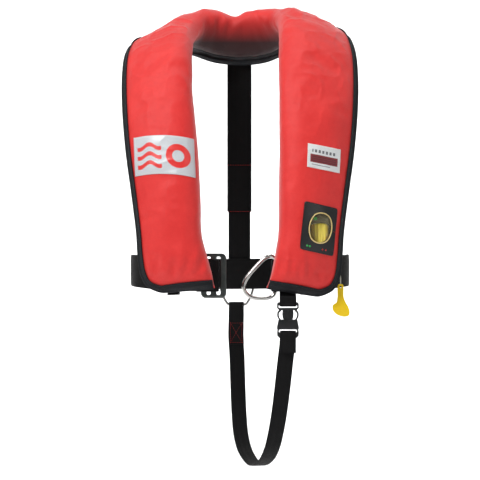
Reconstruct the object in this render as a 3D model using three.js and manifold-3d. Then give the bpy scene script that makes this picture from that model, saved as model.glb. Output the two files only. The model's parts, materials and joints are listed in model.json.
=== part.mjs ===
// Inflatable life jacket: a collar-shaped cover over a folded air bladder, with its waist belt, back strap,
// crotch strap, buckles, rings and gas inflator. Millimetres, +Z up, front towards -Y, +X on the inflator side.
// The origin is where the collar rests on the wearer's shoulders, on the centre line.
import * as THREE from "three";
import { mergeVertices } from "three/addons/utils/BufferGeometryUtils.js";
import Module from "manifold-3d";

const wasm = await Module();
wasm.setup();

// ---- Driving dimensions ----
const COVER_HALF_WIDTH = 185; // centre line to the widest point of a lobe
const NECK_HALF_WIDTH = 62; // centre line to a lobe's inner fold
const LOBE_DROP = 402; // shoulder to the bottom of a lobe's inner edge
const LOBE_PUFF = 52; // thickness of a packed lobe
const COLLAR_PUFF = 42; // thickness of the packed collar
const FRONT_SHARE = 0.6; // share of the puff that stands in front of the seam
const CLOTH = 1.2; // wall of the cover
const SEAM_HALF = 1.5; // half the thickness where the two walls are sewn together
const GAP = 0.4; // clearance between pieces that lie on each other
const TAPE_GAP = 1.5; // the edge tape stands this much off the cloth's faces
const TAPE_CLEAR = 1; // kept between the tape and the cloth it wraps
const LAP = 0.012; // share of the band's width between the front cloth's edge and the lining

const WEBBING = 2.2; // thickness of the heavy webbing
const BELT_WIDTH = 50;
const BELT_HALF_SPAN = 174; // side to side, centre of the webbing
const BELT_FRONT = 107; // centre line to the belt behind the lobes
const BELT_BACK = 112; // centre line to the belt at the back
const BELT_DROP = 380; // height of the belt below the shoulders
const BELT_RISE = 4; // how much higher it runs at the sides than at front and back
const BACK_STRAP_WIDTH = 38;
const KEEPER_X = 104;
const KEEPER_WEBBING = 1.6;

const BUCKLE = { x: -41.3, width: 40, height: BELT_WIDTH + 20, bar: 9.3, rail: 5, plate: 4, slack: 1.4, flare: 4 };
const TETHER_ROD = 6.3;
const TETHER_BAR_X = 54;
const CROTCH_WIRE = 4;
const CROTCH_WIDTH = 25;
const CROTCH_WEBBING = 1.8;
const RING_X = -5;
const TAB_CLEAR = 1.6; // from the belt's fold round the tether ring to the middle of the clip's webbing tab
const RING_BAR_DROP = 46; // the crotch ring's upper bar to its lower bar

const CLIP = { x: 74.4, y: -143, top: -424.6, width: 33.9, depth: 11, tongue: 17.8, bar: 5.2 };

const CYLINDER = { radius: 15, length: 128, neck: 6.5 };
const INFLATOR = { x: 124, y: -136, z: -303, tilt: -9.5, width: 30, depth: 26, height: 30 };
const CAP_RADIUS = 13.4;
const CAP_HEIGHT = 38;
const LEVER = { reach: 12, thick: 3, rest: 50 };
const ORAL = { x: -118, radius: 6 };
const CORD_RADIUS = 1;
const TAB = { x: 157, y: -117, top: -397, length: 51, thick: 2.4 };

const RED = 0xe23c36;
const BLACK = 0x1b1b1d;
const DARK_GREY = 0x33373a;
const STEEL = 0xc9ccd0;
const YELLOW = 0xf2cf2a;
const SILVER = 0xd9dde0;

const V = (x, y, z) => new THREE.Vector3(x, y, z);
const radians = THREE.MathUtils.degToRad;
const root = new THREE.Group();

// ---- Solids from points ----

// One closed body from points and triangles, turned so that its faces point out.
function body(points, triangles) {
  let volume = 0;
  for (const [a, b, c] of triangles)
    volume += points[a].dot(new THREE.Vector3().crossVectors(points[b], points[c]));
  const turned = volume < 0 ? triangles.map(([a, b, c]) => [a, c, b]) : triangles;
  const geometry = new THREE.BufferGeometry().setFromPoints(points);
  return geometry.setIndex(turned.flat());
}

// A section carried along a route. Its points [a, b] lie along the across direction and square to it.
function sweep(route, section, across, closed = false) {
  const points = [];
  const count = section.length;
  route.forEach((p, i) => {
    const last = route.length - 1;
    const before = closed ? route[(i + last) % route.length] : route[Math.max(i - 1, 0)];
    const after = closed ? route[(i + 1) % route.length] : route[Math.min(i + 1, last)];
    const along = after.clone().sub(before).normalize();
    const wide = (typeof across === "function" ? across(i / last) : across).clone();
    wide.addScaledVector(along, -wide.dot(along)).normalize();
    const deep = new THREE.Vector3().crossVectors(along, wide);
    for (const [a, b] of section)
      points.push(p.clone().addScaledVector(wide, a).addScaledVector(deep, b));
  });
  const triangles = [];
  const rings = route.length;
  for (let i = 0; i < (closed ? rings : rings - 1); i++)
    for (let j = 0; j < count; j++) {
      const a = i * count + j;
      const b = i * count + ((j + 1) % count);
      const c = ((i + 1) % rings) * count + ((j + 1) % count);
      const d = ((i + 1) % rings) * count + j;
      triangles.push([a, b, c], [a, c, d]);
    }
  if (!closed) {
    const flat = section.map(([a, b]) => new THREE.Vector2(a, b));
    for (const [a, b, c] of THREE.ShapeUtils.triangulateShape(flat, [])) {
      triangles.push([a, c, b]);
      const end = (rings - 1) * count;
      triangles.push([end + a, end + b, end + c]);
    }
    // the caps face away from each other only if the side runs the same way round
    if (!THREE.ShapeUtils.isClockWise(flat)) return body(points, triangles);
    for (let k = triangles.length - 1, n = 2 * rings * count - 2 * count; k >= n; k--)
      triangles[k] = [triangles[k][0], triangles[k][2], triangles[k][1]];
  }
  return body(points, triangles);
}

// A sheet with a wall: two grids of points, joined round their rim.
function sheet(outer, inner) {
  const rows = outer.length;
  const columns = outer[0].length;
  const points = [...outer.flat(), ...inner.flat()];
  const half = rows * columns;
  const triangles = [];
  for (let i = 0; i + 1 < rows; i++)
    for (let j = 0; j + 1 < columns; j++) {
      const a = i * columns + j;
      const [b, c, d] = [a + 1, a + columns + 1, a + columns];
      triangles.push([a, b, c], [a, c, d], [half + a, half + c, half + b], [half + a, half + d, half + c]);
    }
  const rim = [];
  for (let j = 0; j + 1 < columns; j++) rim.push([j, j + 1]);
  for (let i = 0; i + 1 < rows; i++) rim.push([i * columns + columns - 1, (i + 1) * columns + columns - 1]);
  for (let j = columns - 1; j > 0; j--) rim.push([(rows - 1) * columns + j, (rows - 1) * columns + j - 1]);
  for (let i = rows - 1; i > 0; i--) rim.push([i * columns, (i - 1) * columns]);
  for (const [a, b] of rim) triangles.push([a, half + b, b], [a, half + a, half + b]);
  return body(points, triangles);
}

const rectangle = (wide, deep) => [
  [-wide / 2, -deep / 2],
  [wide / 2, -deep / 2],
  [wide / 2, deep / 2],
  [-wide / 2, deep / 2],
];

const circle = (radius, sides) =>
  Array.from({ length: sides }, (_, i) => {
    const turn = (i / sides) * 2 * Math.PI;
    return [radius * Math.cos(turn), radius * Math.sin(turn)];
  });

// A smooth route through chosen points, in equal steps.
function smooth(points, steps, closed = false) {
  const curve = new THREE.CatmullRomCurve3(points, closed);
  const route = curve.getSpacedPoints(steps);
  return closed ? route.slice(0, -1) : route;
}

// A flat outline in x and z with holes, given a depth along y about its middle.
function plate(outline, holes, depth, bevel = 0) {
  const shape = new THREE.Shape(outline.map(([x, z]) => new THREE.Vector2(x, z)));
  shape.holes = holes.map((hole) => new THREE.Path(hole.map(([x, z]) => new THREE.Vector2(x, z))));
  const made = new THREE.ExtrudeGeometry(shape, {
    depth: depth - 2 * bevel,
    bevelEnabled: bevel > 0,
    bevelThickness: bevel,
    bevelSize: bevel,
    bevelOffset: -bevel,
    bevelSegments: 1,
  });
  return made.translate(0, 0, bevel - depth / 2).rotateX(Math.PI / 2);
}

// A rectangle with round corners about a centre, as an outline.
function rounded(cx, cz, wide, high, radius, steps = 3) {
  const outline = [];
  for (let corner = 0; corner < 4; corner++) {
    const sx = corner === 0 || corner === 3 ? 1 : -1;
    const sz = corner < 2 ? 1 : -1;
    for (let k = 0; k <= steps; k++) {
      const turn = ((corner + k / steps) * Math.PI) / 2;
      outline.push([
        cx + sx * (wide / 2 - radius) + radius * Math.cos(turn),
        cz + sz * (high / 2 - radius) + radius * Math.sin(turn),
      ]);
    }
  }
  return outline;
}

const turned = (profile, sides = 20) =>
  new THREE.LatheGeometry(
    profile.map(([r, z]) => new THREE.Vector2(r, z)),
    sides,
  ).rotateX(Math.PI / 2);

// ---- Joining and cutting ----

function solid(geometry) {
  const bare = new THREE.BufferGeometry().setAttribute("position", geometry.getAttribute("position"));
  if (geometry.index) bare.setIndex(geometry.index);
  const merged = mergeVertices(bare, 1e-4);
  return new wasm.Manifold(
    new wasm.Mesh({
      numProp: 3,
      vertProperties: merged.attributes.position.array,
      triVerts: new Uint32Array(merged.index.array),
    }),
  );
}

function geometryOf(made) {
  const { numProp, vertProperties, triVerts } = made.getMesh();
  const position = new Float32Array((vertProperties.length / numProp) * 3);
  for (let i = 0; i < position.length / 3; i++)
    position.set(vertProperties.subarray(i * numProp, i * numProp + 3), i * 3);
  return new THREE.BufferGeometry()
    .setAttribute("position", new THREE.BufferAttribute(position, 3))
    .setIndex(new THREE.BufferAttribute(triVerts, 1));
}

const joined = (...pieces) => geometryOf(pieces.map(solid).reduce((all, next) => all.add(next)));
const cut = (whole, ...tools) => geometryOf(tools.map(solid).reduce((left, tool) => left.subtract(tool), solid(whole)));

function add(name, geometry, color, finish = {}, parent = root) {
  const material = new THREE.MeshStandardMaterial({ color, roughness: 0.8, metalness: 0, ...finish });
  const mesh = new THREE.Mesh(geometry, material);
  mesh.name = name;
  parent.add(mesh);
  return mesh;
}

const CLOTHLIKE = { roughness: 0.75 };
const PLASTIC = { roughness: 0.45 };
const METAL = { roughness: 0.25, metalness: 1 };

// ---- The cover's band ----
// Stations run from the nape over the shoulder to a lobe's bottom. Each has the inner fold and the outer seam,
// as [share of the half width, y, z], and the share of the puff there. On the collar z is in mm; on the lobes
// it is a share of the drop. LEFT_EASE moves the left lobe's inner fold and bottom corner, in mm.
const COLLAR = [
  { inner: [0, 70, 35], outer: [0, 100, -38] },
  { inner: [0.48, 66, 37], outer: [0.227, 98, -34] },
  { inner: [0.84, 48, 37], outer: [0.443, 89, -17] },
  { inner: [0.98, 20, 31], outer: [0.66, 69, -1] },
  { inner: [1.015, -12, 16], outer: [0.827, 41, 4] },
  { inner: [1.015, -48, -9], outer: [0.93, 8, -2] },
];
const LOBE = [
  { inner: [1.0, -82, 0.12], outer: [0.984, -30, 0.07], puff: 0.86 },
  { inner: [1.0, -104, 0.235], outer: [1.0, -62, 0.18], puff: 0.92 },
  { inner: [1.0, -120, 0.36], outer: [0.99, -90, 0.31], puff: 0.97 },
  { inner: [1.0, -131, 0.498], outer: [0.957, -108, 0.473], puff: 1 },
  { inner: [0.985, -138, 0.647], outer: [0.908, -118, 0.634], puff: 1 },
  { inner: [0.968, -142, 0.79], outer: [0.865, -124, 0.79], puff: 1 },
  { inner: [0.887, -143, 0.875], outer: [0.852, -126, 0.88], puff: 0.9 },
  { inner: [0.79, -143, 0.945], outer: [0.828, -128, 0.965], puff: 0.7 },
  { inner: [0.71, -143, 0.985], outer: [0.776, -129, 1.008], puff: 0.42 },
  { inner: [0.66, -143, 1.0], outer: [0.66, -130, 1.032], puff: 0 },
];
const LEFT_EASE = [
  [3, -6], [4, -11], [5, -13], [6, -14], [7, -13], [8, -8], [9, -3], [10, -1], [12, 3], [13, 5], [14, 3], [15, 2],
];
// How much lower the left shoulder lies than the right one, in mm; its inner fold takes DROOP_INSIDE of that.
const LEFT_DROOP = [[2, 4], [3, 13], [4, 18], [5, 14], [6, 7], [7, 2]];
const DROOP_INSIDE = 0.8;
const LEFT_CORNER_LIFT = 6;
const STATIONS = COLLAR.length + LOBE.length - 1;

const collarPoint = ([share, y, z], half) => V(share * half, y, z);
const lobePoint = ([share, y, drop], half) => V(share * half, y, -drop * LOBE_DROP);
const rightSide = [
  ...COLLAR.map((s) => ({
    inner: collarPoint(s.inner, NECK_HALF_WIDTH),
    outer: collarPoint(s.outer, COVER_HALF_WIDTH),
    puff: COLLAR_PUFF,
  })),
  ...LOBE.map((s) => ({
    inner: lobePoint(s.inner, NECK_HALF_WIDTH),
    outer: lobePoint(s.outer, COVER_HALF_WIDTH),
    puff: s.puff * LOBE_PUFF,
  })),
];
const leftSide = rightSide.map(({ inner, outer, puff }, k) => {
  const change = (list) => list.find(([station]) => station === k)?.[1] ?? 0;
  const droop = change(LEFT_DROOP);
  const lift = k > STATIONS - 3 ? LEFT_CORNER_LIFT : 0;
  return {
    inner: V(-inner.x + change(LEFT_EASE), inner.y, inner.z - DROOP_INSIDE * droop),
    outer: V(-outer.x, outer.y, outer.z + lift - droop),
    puff,
  };
});
const allStations = [...leftSide.slice(1).reverse(), ...rightSide];
const innerFold = new THREE.CatmullRomCurve3(allStations.map((s) => s.inner));
const outerSeam = new THREE.CatmullRomCurve3(allStations.map((s) => s.outer));

// k runs from -STATIONS at the left bottom to STATIONS at the right bottom; v from 0 at the fold to 1 at the seam.
function middle(k, v) {
  const t = THREE.MathUtils.clamp((k / STATIONS + 1) / 2, 0, 1);
  return innerFold.getPoint(t).lerp(outerSeam.getPoint(t), v);
}

function outward(k, v) {
  const step = 0.02;
  const along = middle(Math.min(k + step, STATIONS), v).sub(middle(Math.max(k - step, -STATIONS), v));
  const over = middle(k, 1).sub(middle(k, 0));
  return along.cross(over).normalize();
}

function puffAt(k) {
  const place = Math.min(Math.abs(k), STATIONS - 1e-6);
  const low = Math.floor(place);
  return THREE.MathUtils.lerp(rightSide[low].puff, rightSide[low + 1].puff, place - low);
}

// Fullness across the band: a round fold, a full middle and a thin seam.
const CROWN = 0.35;
const ROUNDNESS = 2.2;
const SEAM_FULLNESS = 0.15;
function fullness(v) {
  if (v < CROWN) return (1 - (1 - v / CROWN) ** ROUNDNESS) ** (1 / ROUNDNESS);
  return 1 - (1 - SEAM_FULLNESS) * ((v - CROWN) / (1 - CROWN)) ** ROUNDNESS;
}

function halfThickness(k, v, face) {
  const share = face > 0 ? FRONT_SHARE : 1 - FRONT_SHARE;
  return SEAM_HALF + share * puffAt(k) * fullness(v) * seamClose(v);
}

// The last of the width closes onto the seam.
function seamClose(v) {
  const last = 0.06;
  return v > 1 - last ? (1 - v) / last : 1;
}

const cover = (k, v, face, lift = 0) =>
  middle(k, v).addScaledVector(outward(k, v), face * (halfThickness(k, v, face) + lift));

const half = [0.75, 1.5, 2.25, 3, 3.75, 4.5, 5.25, 6, 6.75, 7.5, 8.3, 9.1, 10, 10.8, 11.5, 12.2, 13, 13.6, 14, 14.5, 15];
const stations = [...half.map((k) => -k).reverse(), 0, ...half];

// The places across the band where the walls bend; the edge tape covers the first two.
const TAPED = [0.94, 0.905];
const ACROSS = [0.8, 0.66, 0.5, 0.35, 0.24];
const FOLDED = [0.15, 0.08, 0.03];

// A wall of the cover through the given places across the band, each [v, face].
function coverWall(places) {
  const outer = stations.map((k) => places.map(([v, face]) => cover(k, v, face)));
  const inner = outer.map((row, i) =>
    row.map((p, j) => {
      const down = outer[Math.min(i + 1, outer.length - 1)][j].clone().sub(outer[Math.max(i - 1, 0)][j]);
      const over = row[Math.min(j + 1, row.length - 1)].clone().sub(row[Math.max(j - 1, 0)]);
      return p.clone().addScaledVector(down.cross(over).normalize(), CLOTH);
    }),
  );
  return [outer, inner];
}

// The point of the front cloth that lies at x and z.
function locate(x, z) {
  let k = Math.sign(x) * 0.65 * STATIONS;
  let v = 0.5;
  for (let pass = 0; pass < 30; pass++) {
    const here = cover(k, v, 1);
    const step = 0.01;
    const fall = (cover(k + step, v, 1).z - here.z) / step;
    const reach = (cover(k, v + step, 1).x - here.x) / step;
    k += THREE.MathUtils.clamp((z - here.z) / fall, -0.5, 0.5);
    v = THREE.MathUtils.clamp(v + (x - here.x) / reach, 0.01, 0.97);
  }
  return [k, v];
}

// A patch on the front cloth: its middle, its across and down edges as [x, z], and its thickness.
const PATCHES = {
  panel: { centre: [-117.4, -200.5], across: [93.5, -2.5], down: [3, -60.5], bow: 5 },
  label: { centre: [129.8, -201.2], across: [51, -9.6], down: [-1.4, -36.5], bow: 0 },
  window: { centre: [122, -310.6], across: [52.4, -11.8], down: [-7.2, -74.1], bow: 0 },
};
function onPatch({ centre, across, down, bow }, s, r) {
  const rise = bow * (1 - 4 * s * s);
  return locate(centre[0] + s * across[0] + r * down[0], centre[1] + s * across[1] + r * down[1] + rise);
}
function patch(place, columns, rows, lift, thick) {
  const grid = (height) =>
    Array.from({ length: rows + 1 }, (_, j) =>
      Array.from({ length: columns + 1 }, (_, i) => {
        const [k, v] = onPatch(place, i / columns - 0.5, j / rows - 0.5);
        return cover(k, v, 1, height);
      }),
    );
  return sheet(grid(lift + thick), grid(lift));
}

// An oval post through the front cloth at the window, along the cloth's own normal there.
const WINDOW = { wide: 17, high: 22, offset: [2.6, 1] };
const windowK = locate(PATCHES.window.centre[0] + WINDOW.offset[0], PATCHES.window.centre[1] + WINDOW.offset[1]);
function ovalPost(grow, low, high) {
  const centre = cover(...windowK, 1);
  const out = outward(...windowK);
  const lean = radians(-9);
  const right = V(Math.cos(lean), 0, Math.sin(lean));
  right.addScaledVector(out, -right.dot(out)).normalize();
  const oval = circle(1, 20).map(([a, b]) => [a * (WINDOW.wide + grow), b * (WINDOW.high + grow)]);
  const ends = [low, high].map((d) => centre.clone().addScaledVector(out, d));
  return sweep(ends, oval, right);
}

function addCover() {
  const front = [1, ...TAPED, ...ACROSS, ...FOLDED, 0].map((v) => [v, 1]);
  const wrapped = [0, ...[...FOLDED].reverse()].map((v) => [v, -1]);
  const shell = sheet(...coverWall([...front, ...wrapped]));
  const outerWall = add("cover_shell", cut(shell, ovalPost(0, -14, 14)), RED, CLOTHLIKE);
  const start = FOLDED[0] + LAP;
  const back = [start, ...[...TAPED, ...ACROSS].reverse(), 1].map((v) => [v, -1]);
  const lining = cut(sheet(...coverWall(back)), exitPost(EYELET.hole + 1, -5, 5));
  const innerWall = add("cover_lining", lining, BLACK, CLOTHLIKE);
  add("cord_eyelet", exitRing(EYELET), STEEL, METAL);
  return [outerWall.geometry, innerWall.geometry];
}

// The eyelet in the lining that the pull cord comes out of.
const EYELET = { k: 12.05, v: 0.86, hole: 2.2, flange: 4.4, thick: 1 };
const exitPoint = (lift) => cover(EYELET.k, EYELET.v, -1, lift);
function exitPost(radius, low, high) {
  return sweep([exitPoint(low), exitPoint(high)], circle(radius, 12), V(0, 0, 1));
}
function exitRing({ hole, flange, thick }) {
  const low = GAP + 1;
  return cut(exitPost(flange, low, low + thick), exitPost(hole, low - 1, low + thick + 1));
}

// The whole cover filled solid and grown by a lift, to keep its neighbours clear of it.
function coverBlank(lift) {
  const across = [1, ...TAPED, ...ACROSS, ...FOLDED, 0];
  return sheet(...[1, -1].map((face) => stations.map((k) => across.map((v) => cover(k, v, face, lift)))));
}

// The edge tape: a folded strip round the seam, from one lobe's inner corner round to the other's.
function addBinding(walls) {
  const last = STATIONS;
  const bottom = [...ACROSS, ...FOLDED].reverse();
  const legsAt = (k, v) => {
    const side = Math.sign(k);
    if (Math.abs(k) < last) return TAPED.map((place) => [k, place]);
    if (v > 0.99) return TAPED.map((place, i) => [side * (last - 0.5 * (i + 1)), place]);
    return [[side * (last - 0.5), v], [side * (last - 1), v]];
  };
  const sides = stations.filter((k) => Math.abs(k) < last - 1.2);
  const places = [
    ...bottom.map((v) => [-last, v]), [-last, 1],
    ...sides.map((k) => [k, 1]),
    [last, 1], ...[...bottom].reverse().map((v) => [last, v]),
  ];
  const rows = (lift) =>
    places.map(([k, v]) => {
      const edge = middle(k, v);
      const legs = legsAt(k, v);
      const away = edge.clone().sub(middle(...legs[0])).normalize();
      const n = outward(k, Math.min(v, 0.98));
      const leg = (place, face) => cover(...place, face, TAPE_GAP + lift);
      const turn = [1, -1].map((face) =>
        edge.clone().addScaledVector(away, GAP + lift).addScaledVector(n, face * (SEAM_HALF + GAP + lift)),
      );
      return [leg(legs[1], 1), leg(legs[0], 1), ...turn, leg(legs[0], -1), leg(legs[1], -1)];
    });
  add("edge_binding", cut(sheet(rows(CLOTH), rows(0)), coverBlank(TAPE_CLEAR), ...walls), DARK_GREY, CLOTHLIKE);
}

// ---- What the cover holds ----
const BLADDER_LIMIT = [0.8, 0.8, 0.8, 0.8, 0.8, 0.8, 0.68, 0.48, 0.32, 0.3, 0.3, 0.3, 0.3, 0.3];
const BLADDER_START = 0.07;
const BLADDER_FILL = 0.78;
function addBladder() {
  const reach = BLADDER_LIMIT.length - 1.3;
  const rings = 41;
  const limit = (k) => {
    const place = Math.abs(k);
    const low = Math.floor(place);
    return THREE.MathUtils.lerp(BLADDER_LIMIT[low], BLADDER_LIMIT[Math.min(low + 1, 13)], place - low);
  };
  const grid = (face) =>
    Array.from({ length: rings }, (_, i) => {
      const k = ((2 * i) / (rings - 1) - 1) * reach;
      return [0, 0.25, 0.5, 0.75, 1].map((s) => {
        const v = BLADDER_START + s * (limit(k) - BLADDER_START);
        const share = face > 0 ? FRONT_SHARE : 1 - FRONT_SHARE;
        const high = BLADDER_FILL * share * puffAt(k) * fullness(v) * (s === 0 || s === 1 ? 0.6 : 1);
        return middle(k, v).addScaledVector(outward(k, v), face * high);
      });
    });
  add("bladder", sheet(grid(1), grid(-1)), YELLOW, CLOTHLIKE);
}

function addClosureTapes() {
  for (const [side, sign] of [["left", -1], ["right", 1]]) {
    for (const [name, face] of [["hook", 1], ["loop", -1]]) {
      const grid = (height) =>
        Array.from({ length: 15 }, (_, i) => {
          const k = sign * (7.6 + (i / 14) * 3.3);
          return [0.9, 0.955].map((v) => middle(k, v).addScaledVector(outward(k, v), face * height));
        });
      add(`closure_${name}_${side}`, sheet(grid(GAP / 2 + 1.4), grid(GAP / 2)), BLACK, CLOTHLIKE);
    }
  }
}

const inflator = new THREE.Group();
inflator.position.set(INFLATOR.x, INFLATOR.y, INFLATOR.z);
inflator.rotation.x = radians(INFLATOR.tilt);
root.add(inflator);

const BORE = 5.2;
function addInflator() {
  const { width, depth, height } = INFLATOR;
  const block = plate(rounded(0, height / 2, width, height, 5), [], depth, 2);
  const bore = turned([[0, 5], [BORE, 5], [BORE, height + 9], [0, height + 9]], 16);
  const collar = turned([[0, height - 3], [10, height - 3], [10, height + 5], [0, height + 5]], 20);
  add("inflator_body", cut(joined(block, collar), bore), DARK_GREY, PLASTIC, inflator);
  const ribs = 14;
  const outline = Array.from({ length: ribs * 2 }, (_, i) => {
    const turn = (i / (ribs * 2)) * 2 * Math.PI;
    const radius = i % 2 ? CAP_RADIUS : CAP_RADIUS - 0.9;
    return new THREE.Vector2(radius * Math.cos(turn), radius * Math.sin(turn));
  });
  const skirt = new THREE.ExtrudeGeometry(new THREE.Shape(outline), { depth: CAP_HEIGHT, bevelEnabled: false });
  skirt.translate(0, 0, -CAP_HEIGHT - GAP);
  const hollow = turned([[0, -CAP_HEIGHT + 4], [9, -CAP_HEIGHT + 4], [9, 1], [0, 1]], 16);
  add("automatic_cap", cut(skirt, hollow), YELLOW, PLASTIC, inflator);
  const bobbin = turned([[0, -30], [6, -30], [6, -22], [0, -22]], 12);
  add("water_bobbin", bobbin, 0xf4f1e8, PLASTIC, inflator);
  const turns = 4;
  const steps = 9 * turns;
  const coil = Array.from({ length: steps + 1 }, (_, i) => {
    const turn = (i / steps) * turns * 2 * Math.PI;
    return V(6.6 * Math.cos(turn), 6.6 * Math.sin(turn), -20.5 + (i / steps) * 17);
  });
  add("firing_spring", sweep(coil, circle(0.6, 5), V(0, 0, 1)), STEEL, METAL, inflator);
  const pin = turned([[0, 7], [3.6, 7], [3.6, 9], [1.6, 9], [1.6, 26], [0, 30]], 12);
  add("piercing_pin", pin, STEEL, METAL, inflator);
  const { radius, length, neck } = CYLINDER;
  const foot = height + 5 + GAP;
  const bottle = turned(
    [[0, foot], [neck, foot], [neck, foot + 8], [radius * 0.8, foot + 14], [radius, foot + 22],
      [radius, foot + length - 8], [radius * 0.7, foot + length - 1.5], [0, foot + length]],
    20,
  );
  add("gas_cylinder", bottle, SILVER, METAL, inflator);
  const dot = turned([[0, 0], [2.6, 0], [2.6, 1.6], [0, 1.6]], 12).rotateX(Math.PI / 2);
  dot.translate(-7, -depth / 2 - GAP, 6);
  add("status_indicator", dot, 0x2f9a45, PLASTIC, inflator);
  const arm = plate(
    [[-2.4, -1.4], [-1.4, -2.4], [LEVER.reach - 3, -2], [LEVER.reach, 0], [LEVER.reach - 3, 2], [-1.4, 2.4], [-2.4, 1.4]],
    [],
    LEVER.thick,
  );
  arm.rotateY(-radians(LEVER.rest)).translate(width / 2 + 3.4, 0, 12);
  add("firing_lever", arm, YELLOW, PLASTIC, inflator);
  const stem = turned([[0, 0], [4.5, 0], [4.5, 5], [0, 5]], 14).rotateY(-Math.PI / 2);
  stem.translate(-width / 2 - GAP, 0, 12);
  add("inflation_stem", stem, STEEL, METAL, inflator);
  const nut = plate(circle(8, 6), [], 3).rotateZ(Math.PI / 2);
  nut.translate(-width / 2 - 2 * GAP - 5 - 1.5, 0, 12);
  add("manifold_nut", nut, STEEL, METAL, inflator);
}

function addOralTube() {
  const { x, radius } = ORAL;
  const flange = turned([[0, 0], [10, 0], [10, 2], [0, 2]], 16).rotateY(-Math.PI / 2);
  add("oral_flange", flange.translate(-96.6, -136, -322), BLACK, PLASTIC);
  const route = smooth(
    [V(-99.6, -136, -322), V(-107, -136.6, -322), V(-115, -137, -316), V(x, -136, -300), V(x, -131, -262), V(x, -126, -232)],
    15,
  );
  const ring = circle(radius, 10);
  add("oral_tube", sweep(route, ring, V(0, 1, 0)), BLACK, { roughness: 0.6 });
  const mouth = new THREE.Group();
  mouth.position.set(x, -126 + 0.2, -232 + GAP + 0.6);
  mouth.rotation.x = radians(INFLATOR.tilt);
  root.add(mouth);
  add("oral_valve", turned([[0, 0], [8, 0], [8, 6], [5.5, 9], [5.5, 20], [0, 20]], 16), BLACK, PLASTIC, mouth);
  const cap = turned([[0, 21], [6, 21], [6, 10], [8.5, 10], [8.5, 24], [0, 24]], 16);
  add("oral_cap", cap, YELLOW, PLASTIC, mouth);
}

function addWhistle() {
  const outline = [[-6, -22], [3, -22], [6, -18], [6, 8], [4, 22], [-4, 22], [-6, 10]];
  const made = plate(outline, [rounded(0, 14, 4, 6, 1.5, 1)], 10, 1);
  made.rotateX(radians(INFLATOR.tilt)).translate(-143, -124, -262);
  add("whistle", made, YELLOW, PLASTIC);
  const route = smooth([V(-127, -133, -305), V(-134, -131, -306), V(-142, -128, -300), V(-143, -127.5, -290)], 10);
  add("whistle_lanyard", sweep(route, circle(1.1, 8), V(0, 1, 0)), 0xf4f1e8, CLOTHLIKE);
}

// ---- Belt and straps ----
const power = (value, exponent) => Math.sign(value) * Math.abs(value) ** exponent;
function beltPoint(turn) {
  const front = Math.cos(turn) > 0;
  const corner = 2 / (front ? 3.2 : 2.4);
  return V(
    -BELT_HALF_SPAN * power(Math.sin(turn), corner),
    -(front ? BELT_FRONT : BELT_BACK) * power(Math.cos(turn), corner),
    -BELT_DROP - BELT_RISE * Math.cos(2 * turn),
  );
}
// The turn at which the belt's front run reaches a given distance from the centre line.
const turnAt = (x) => Math.asin(power(Math.abs(x) / BELT_HALF_SPAN, 3.2 / 2));

// A half turn of webbing round a bar, in plan, coming from the belt's own end and going back in front of it. Its
// end stands forward by the flare, which leaves room for the frame to swing.
function fold(barX, radius, side, back, flare) {
  const { z } = beltPoint(turnAt(barX));
  const points = [];
  for (let i = 0; i <= 6; i++) {
    const turn = (i / 6) * Math.PI;
    points.push(V(barX - side * radius * Math.sin(turn), -BELT_FRONT - radius * (1 - Math.cos(turn)), z));
  }
  points.push(V(barX + side * back, -BELT_FRONT - 2 * radius - flare, z));
  return points;
}

const buckleRadius = BUCKLE.plate / 2 + BUCKLE.slack + WEBBING / 2;
const buckleFoldX = BUCKLE.x + BUCKLE.bar / 2 - 1.5;
const tetherRadius = TETHER_ROD / 2 + GAP + WEBBING / 2;
const buckleZ = beltPoint(turnAt(BUCKLE.x)).z;
const tetherZ = beltPoint(turnAt(TETHER_BAR_X)).z;
function addBelt() {
  const start = turnAt(buckleFoldX - 3);
  const end = 2 * Math.PI - turnAt(TETHER_BAR_X + 3);
  const steps = 40;
  const loop = Array.from({ length: steps + 1 }, (_, i) => beltPoint(start + (i / steps) * (end - start)));
  const left = fold(buckleFoldX, buckleRadius, -1, 30, BUCKLE.flare).reverse();
  const right = fold(TETHER_BAR_X, tetherRadius, 1, 20, 0);
  const route = [...left, ...loop, ...right];
  add("waist_belt", sweep(route, rectangle(BELT_WIDTH, WEBBING), V(0, 0, 1)), BLACK, CLOTHLIKE);
}

function addKeepers() {
  for (const [side, sign] of [["left", -1], ["right", 1]]) {
    const turn = sign < 0 ? turnAt(KEEPER_X) : 2 * Math.PI - turnAt(KEEPER_X);
    const belt = beltPoint(turn);
    const along = beltPoint(turn + 0.01).sub(beltPoint(turn - 0.01)).setZ(0).normalize();
    const inside = belt.y + WEBBING / 2 + 2.2 + KEEPER_WEBBING / 2;
    const half = BELT_WIDTH / 2 + 3;
    const face = -108.5;
    const route = smooth(
      [[face, half + 14], [face + 1, half + 6], [inside - 3, half + 1], [inside, half - 6], [inside, 6 - half],
        [inside - 3, -half - 1], [face - 1, -half - 3]].map(([y, dz]) => V(belt.x, y, belt.z + dz)),
      12,
    );
    add(`belt_keeper_${side}`, sweep(route, rectangle(20, KEEPER_WEBBING), along), BLACK, CLOTHLIKE);
  }
}

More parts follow.
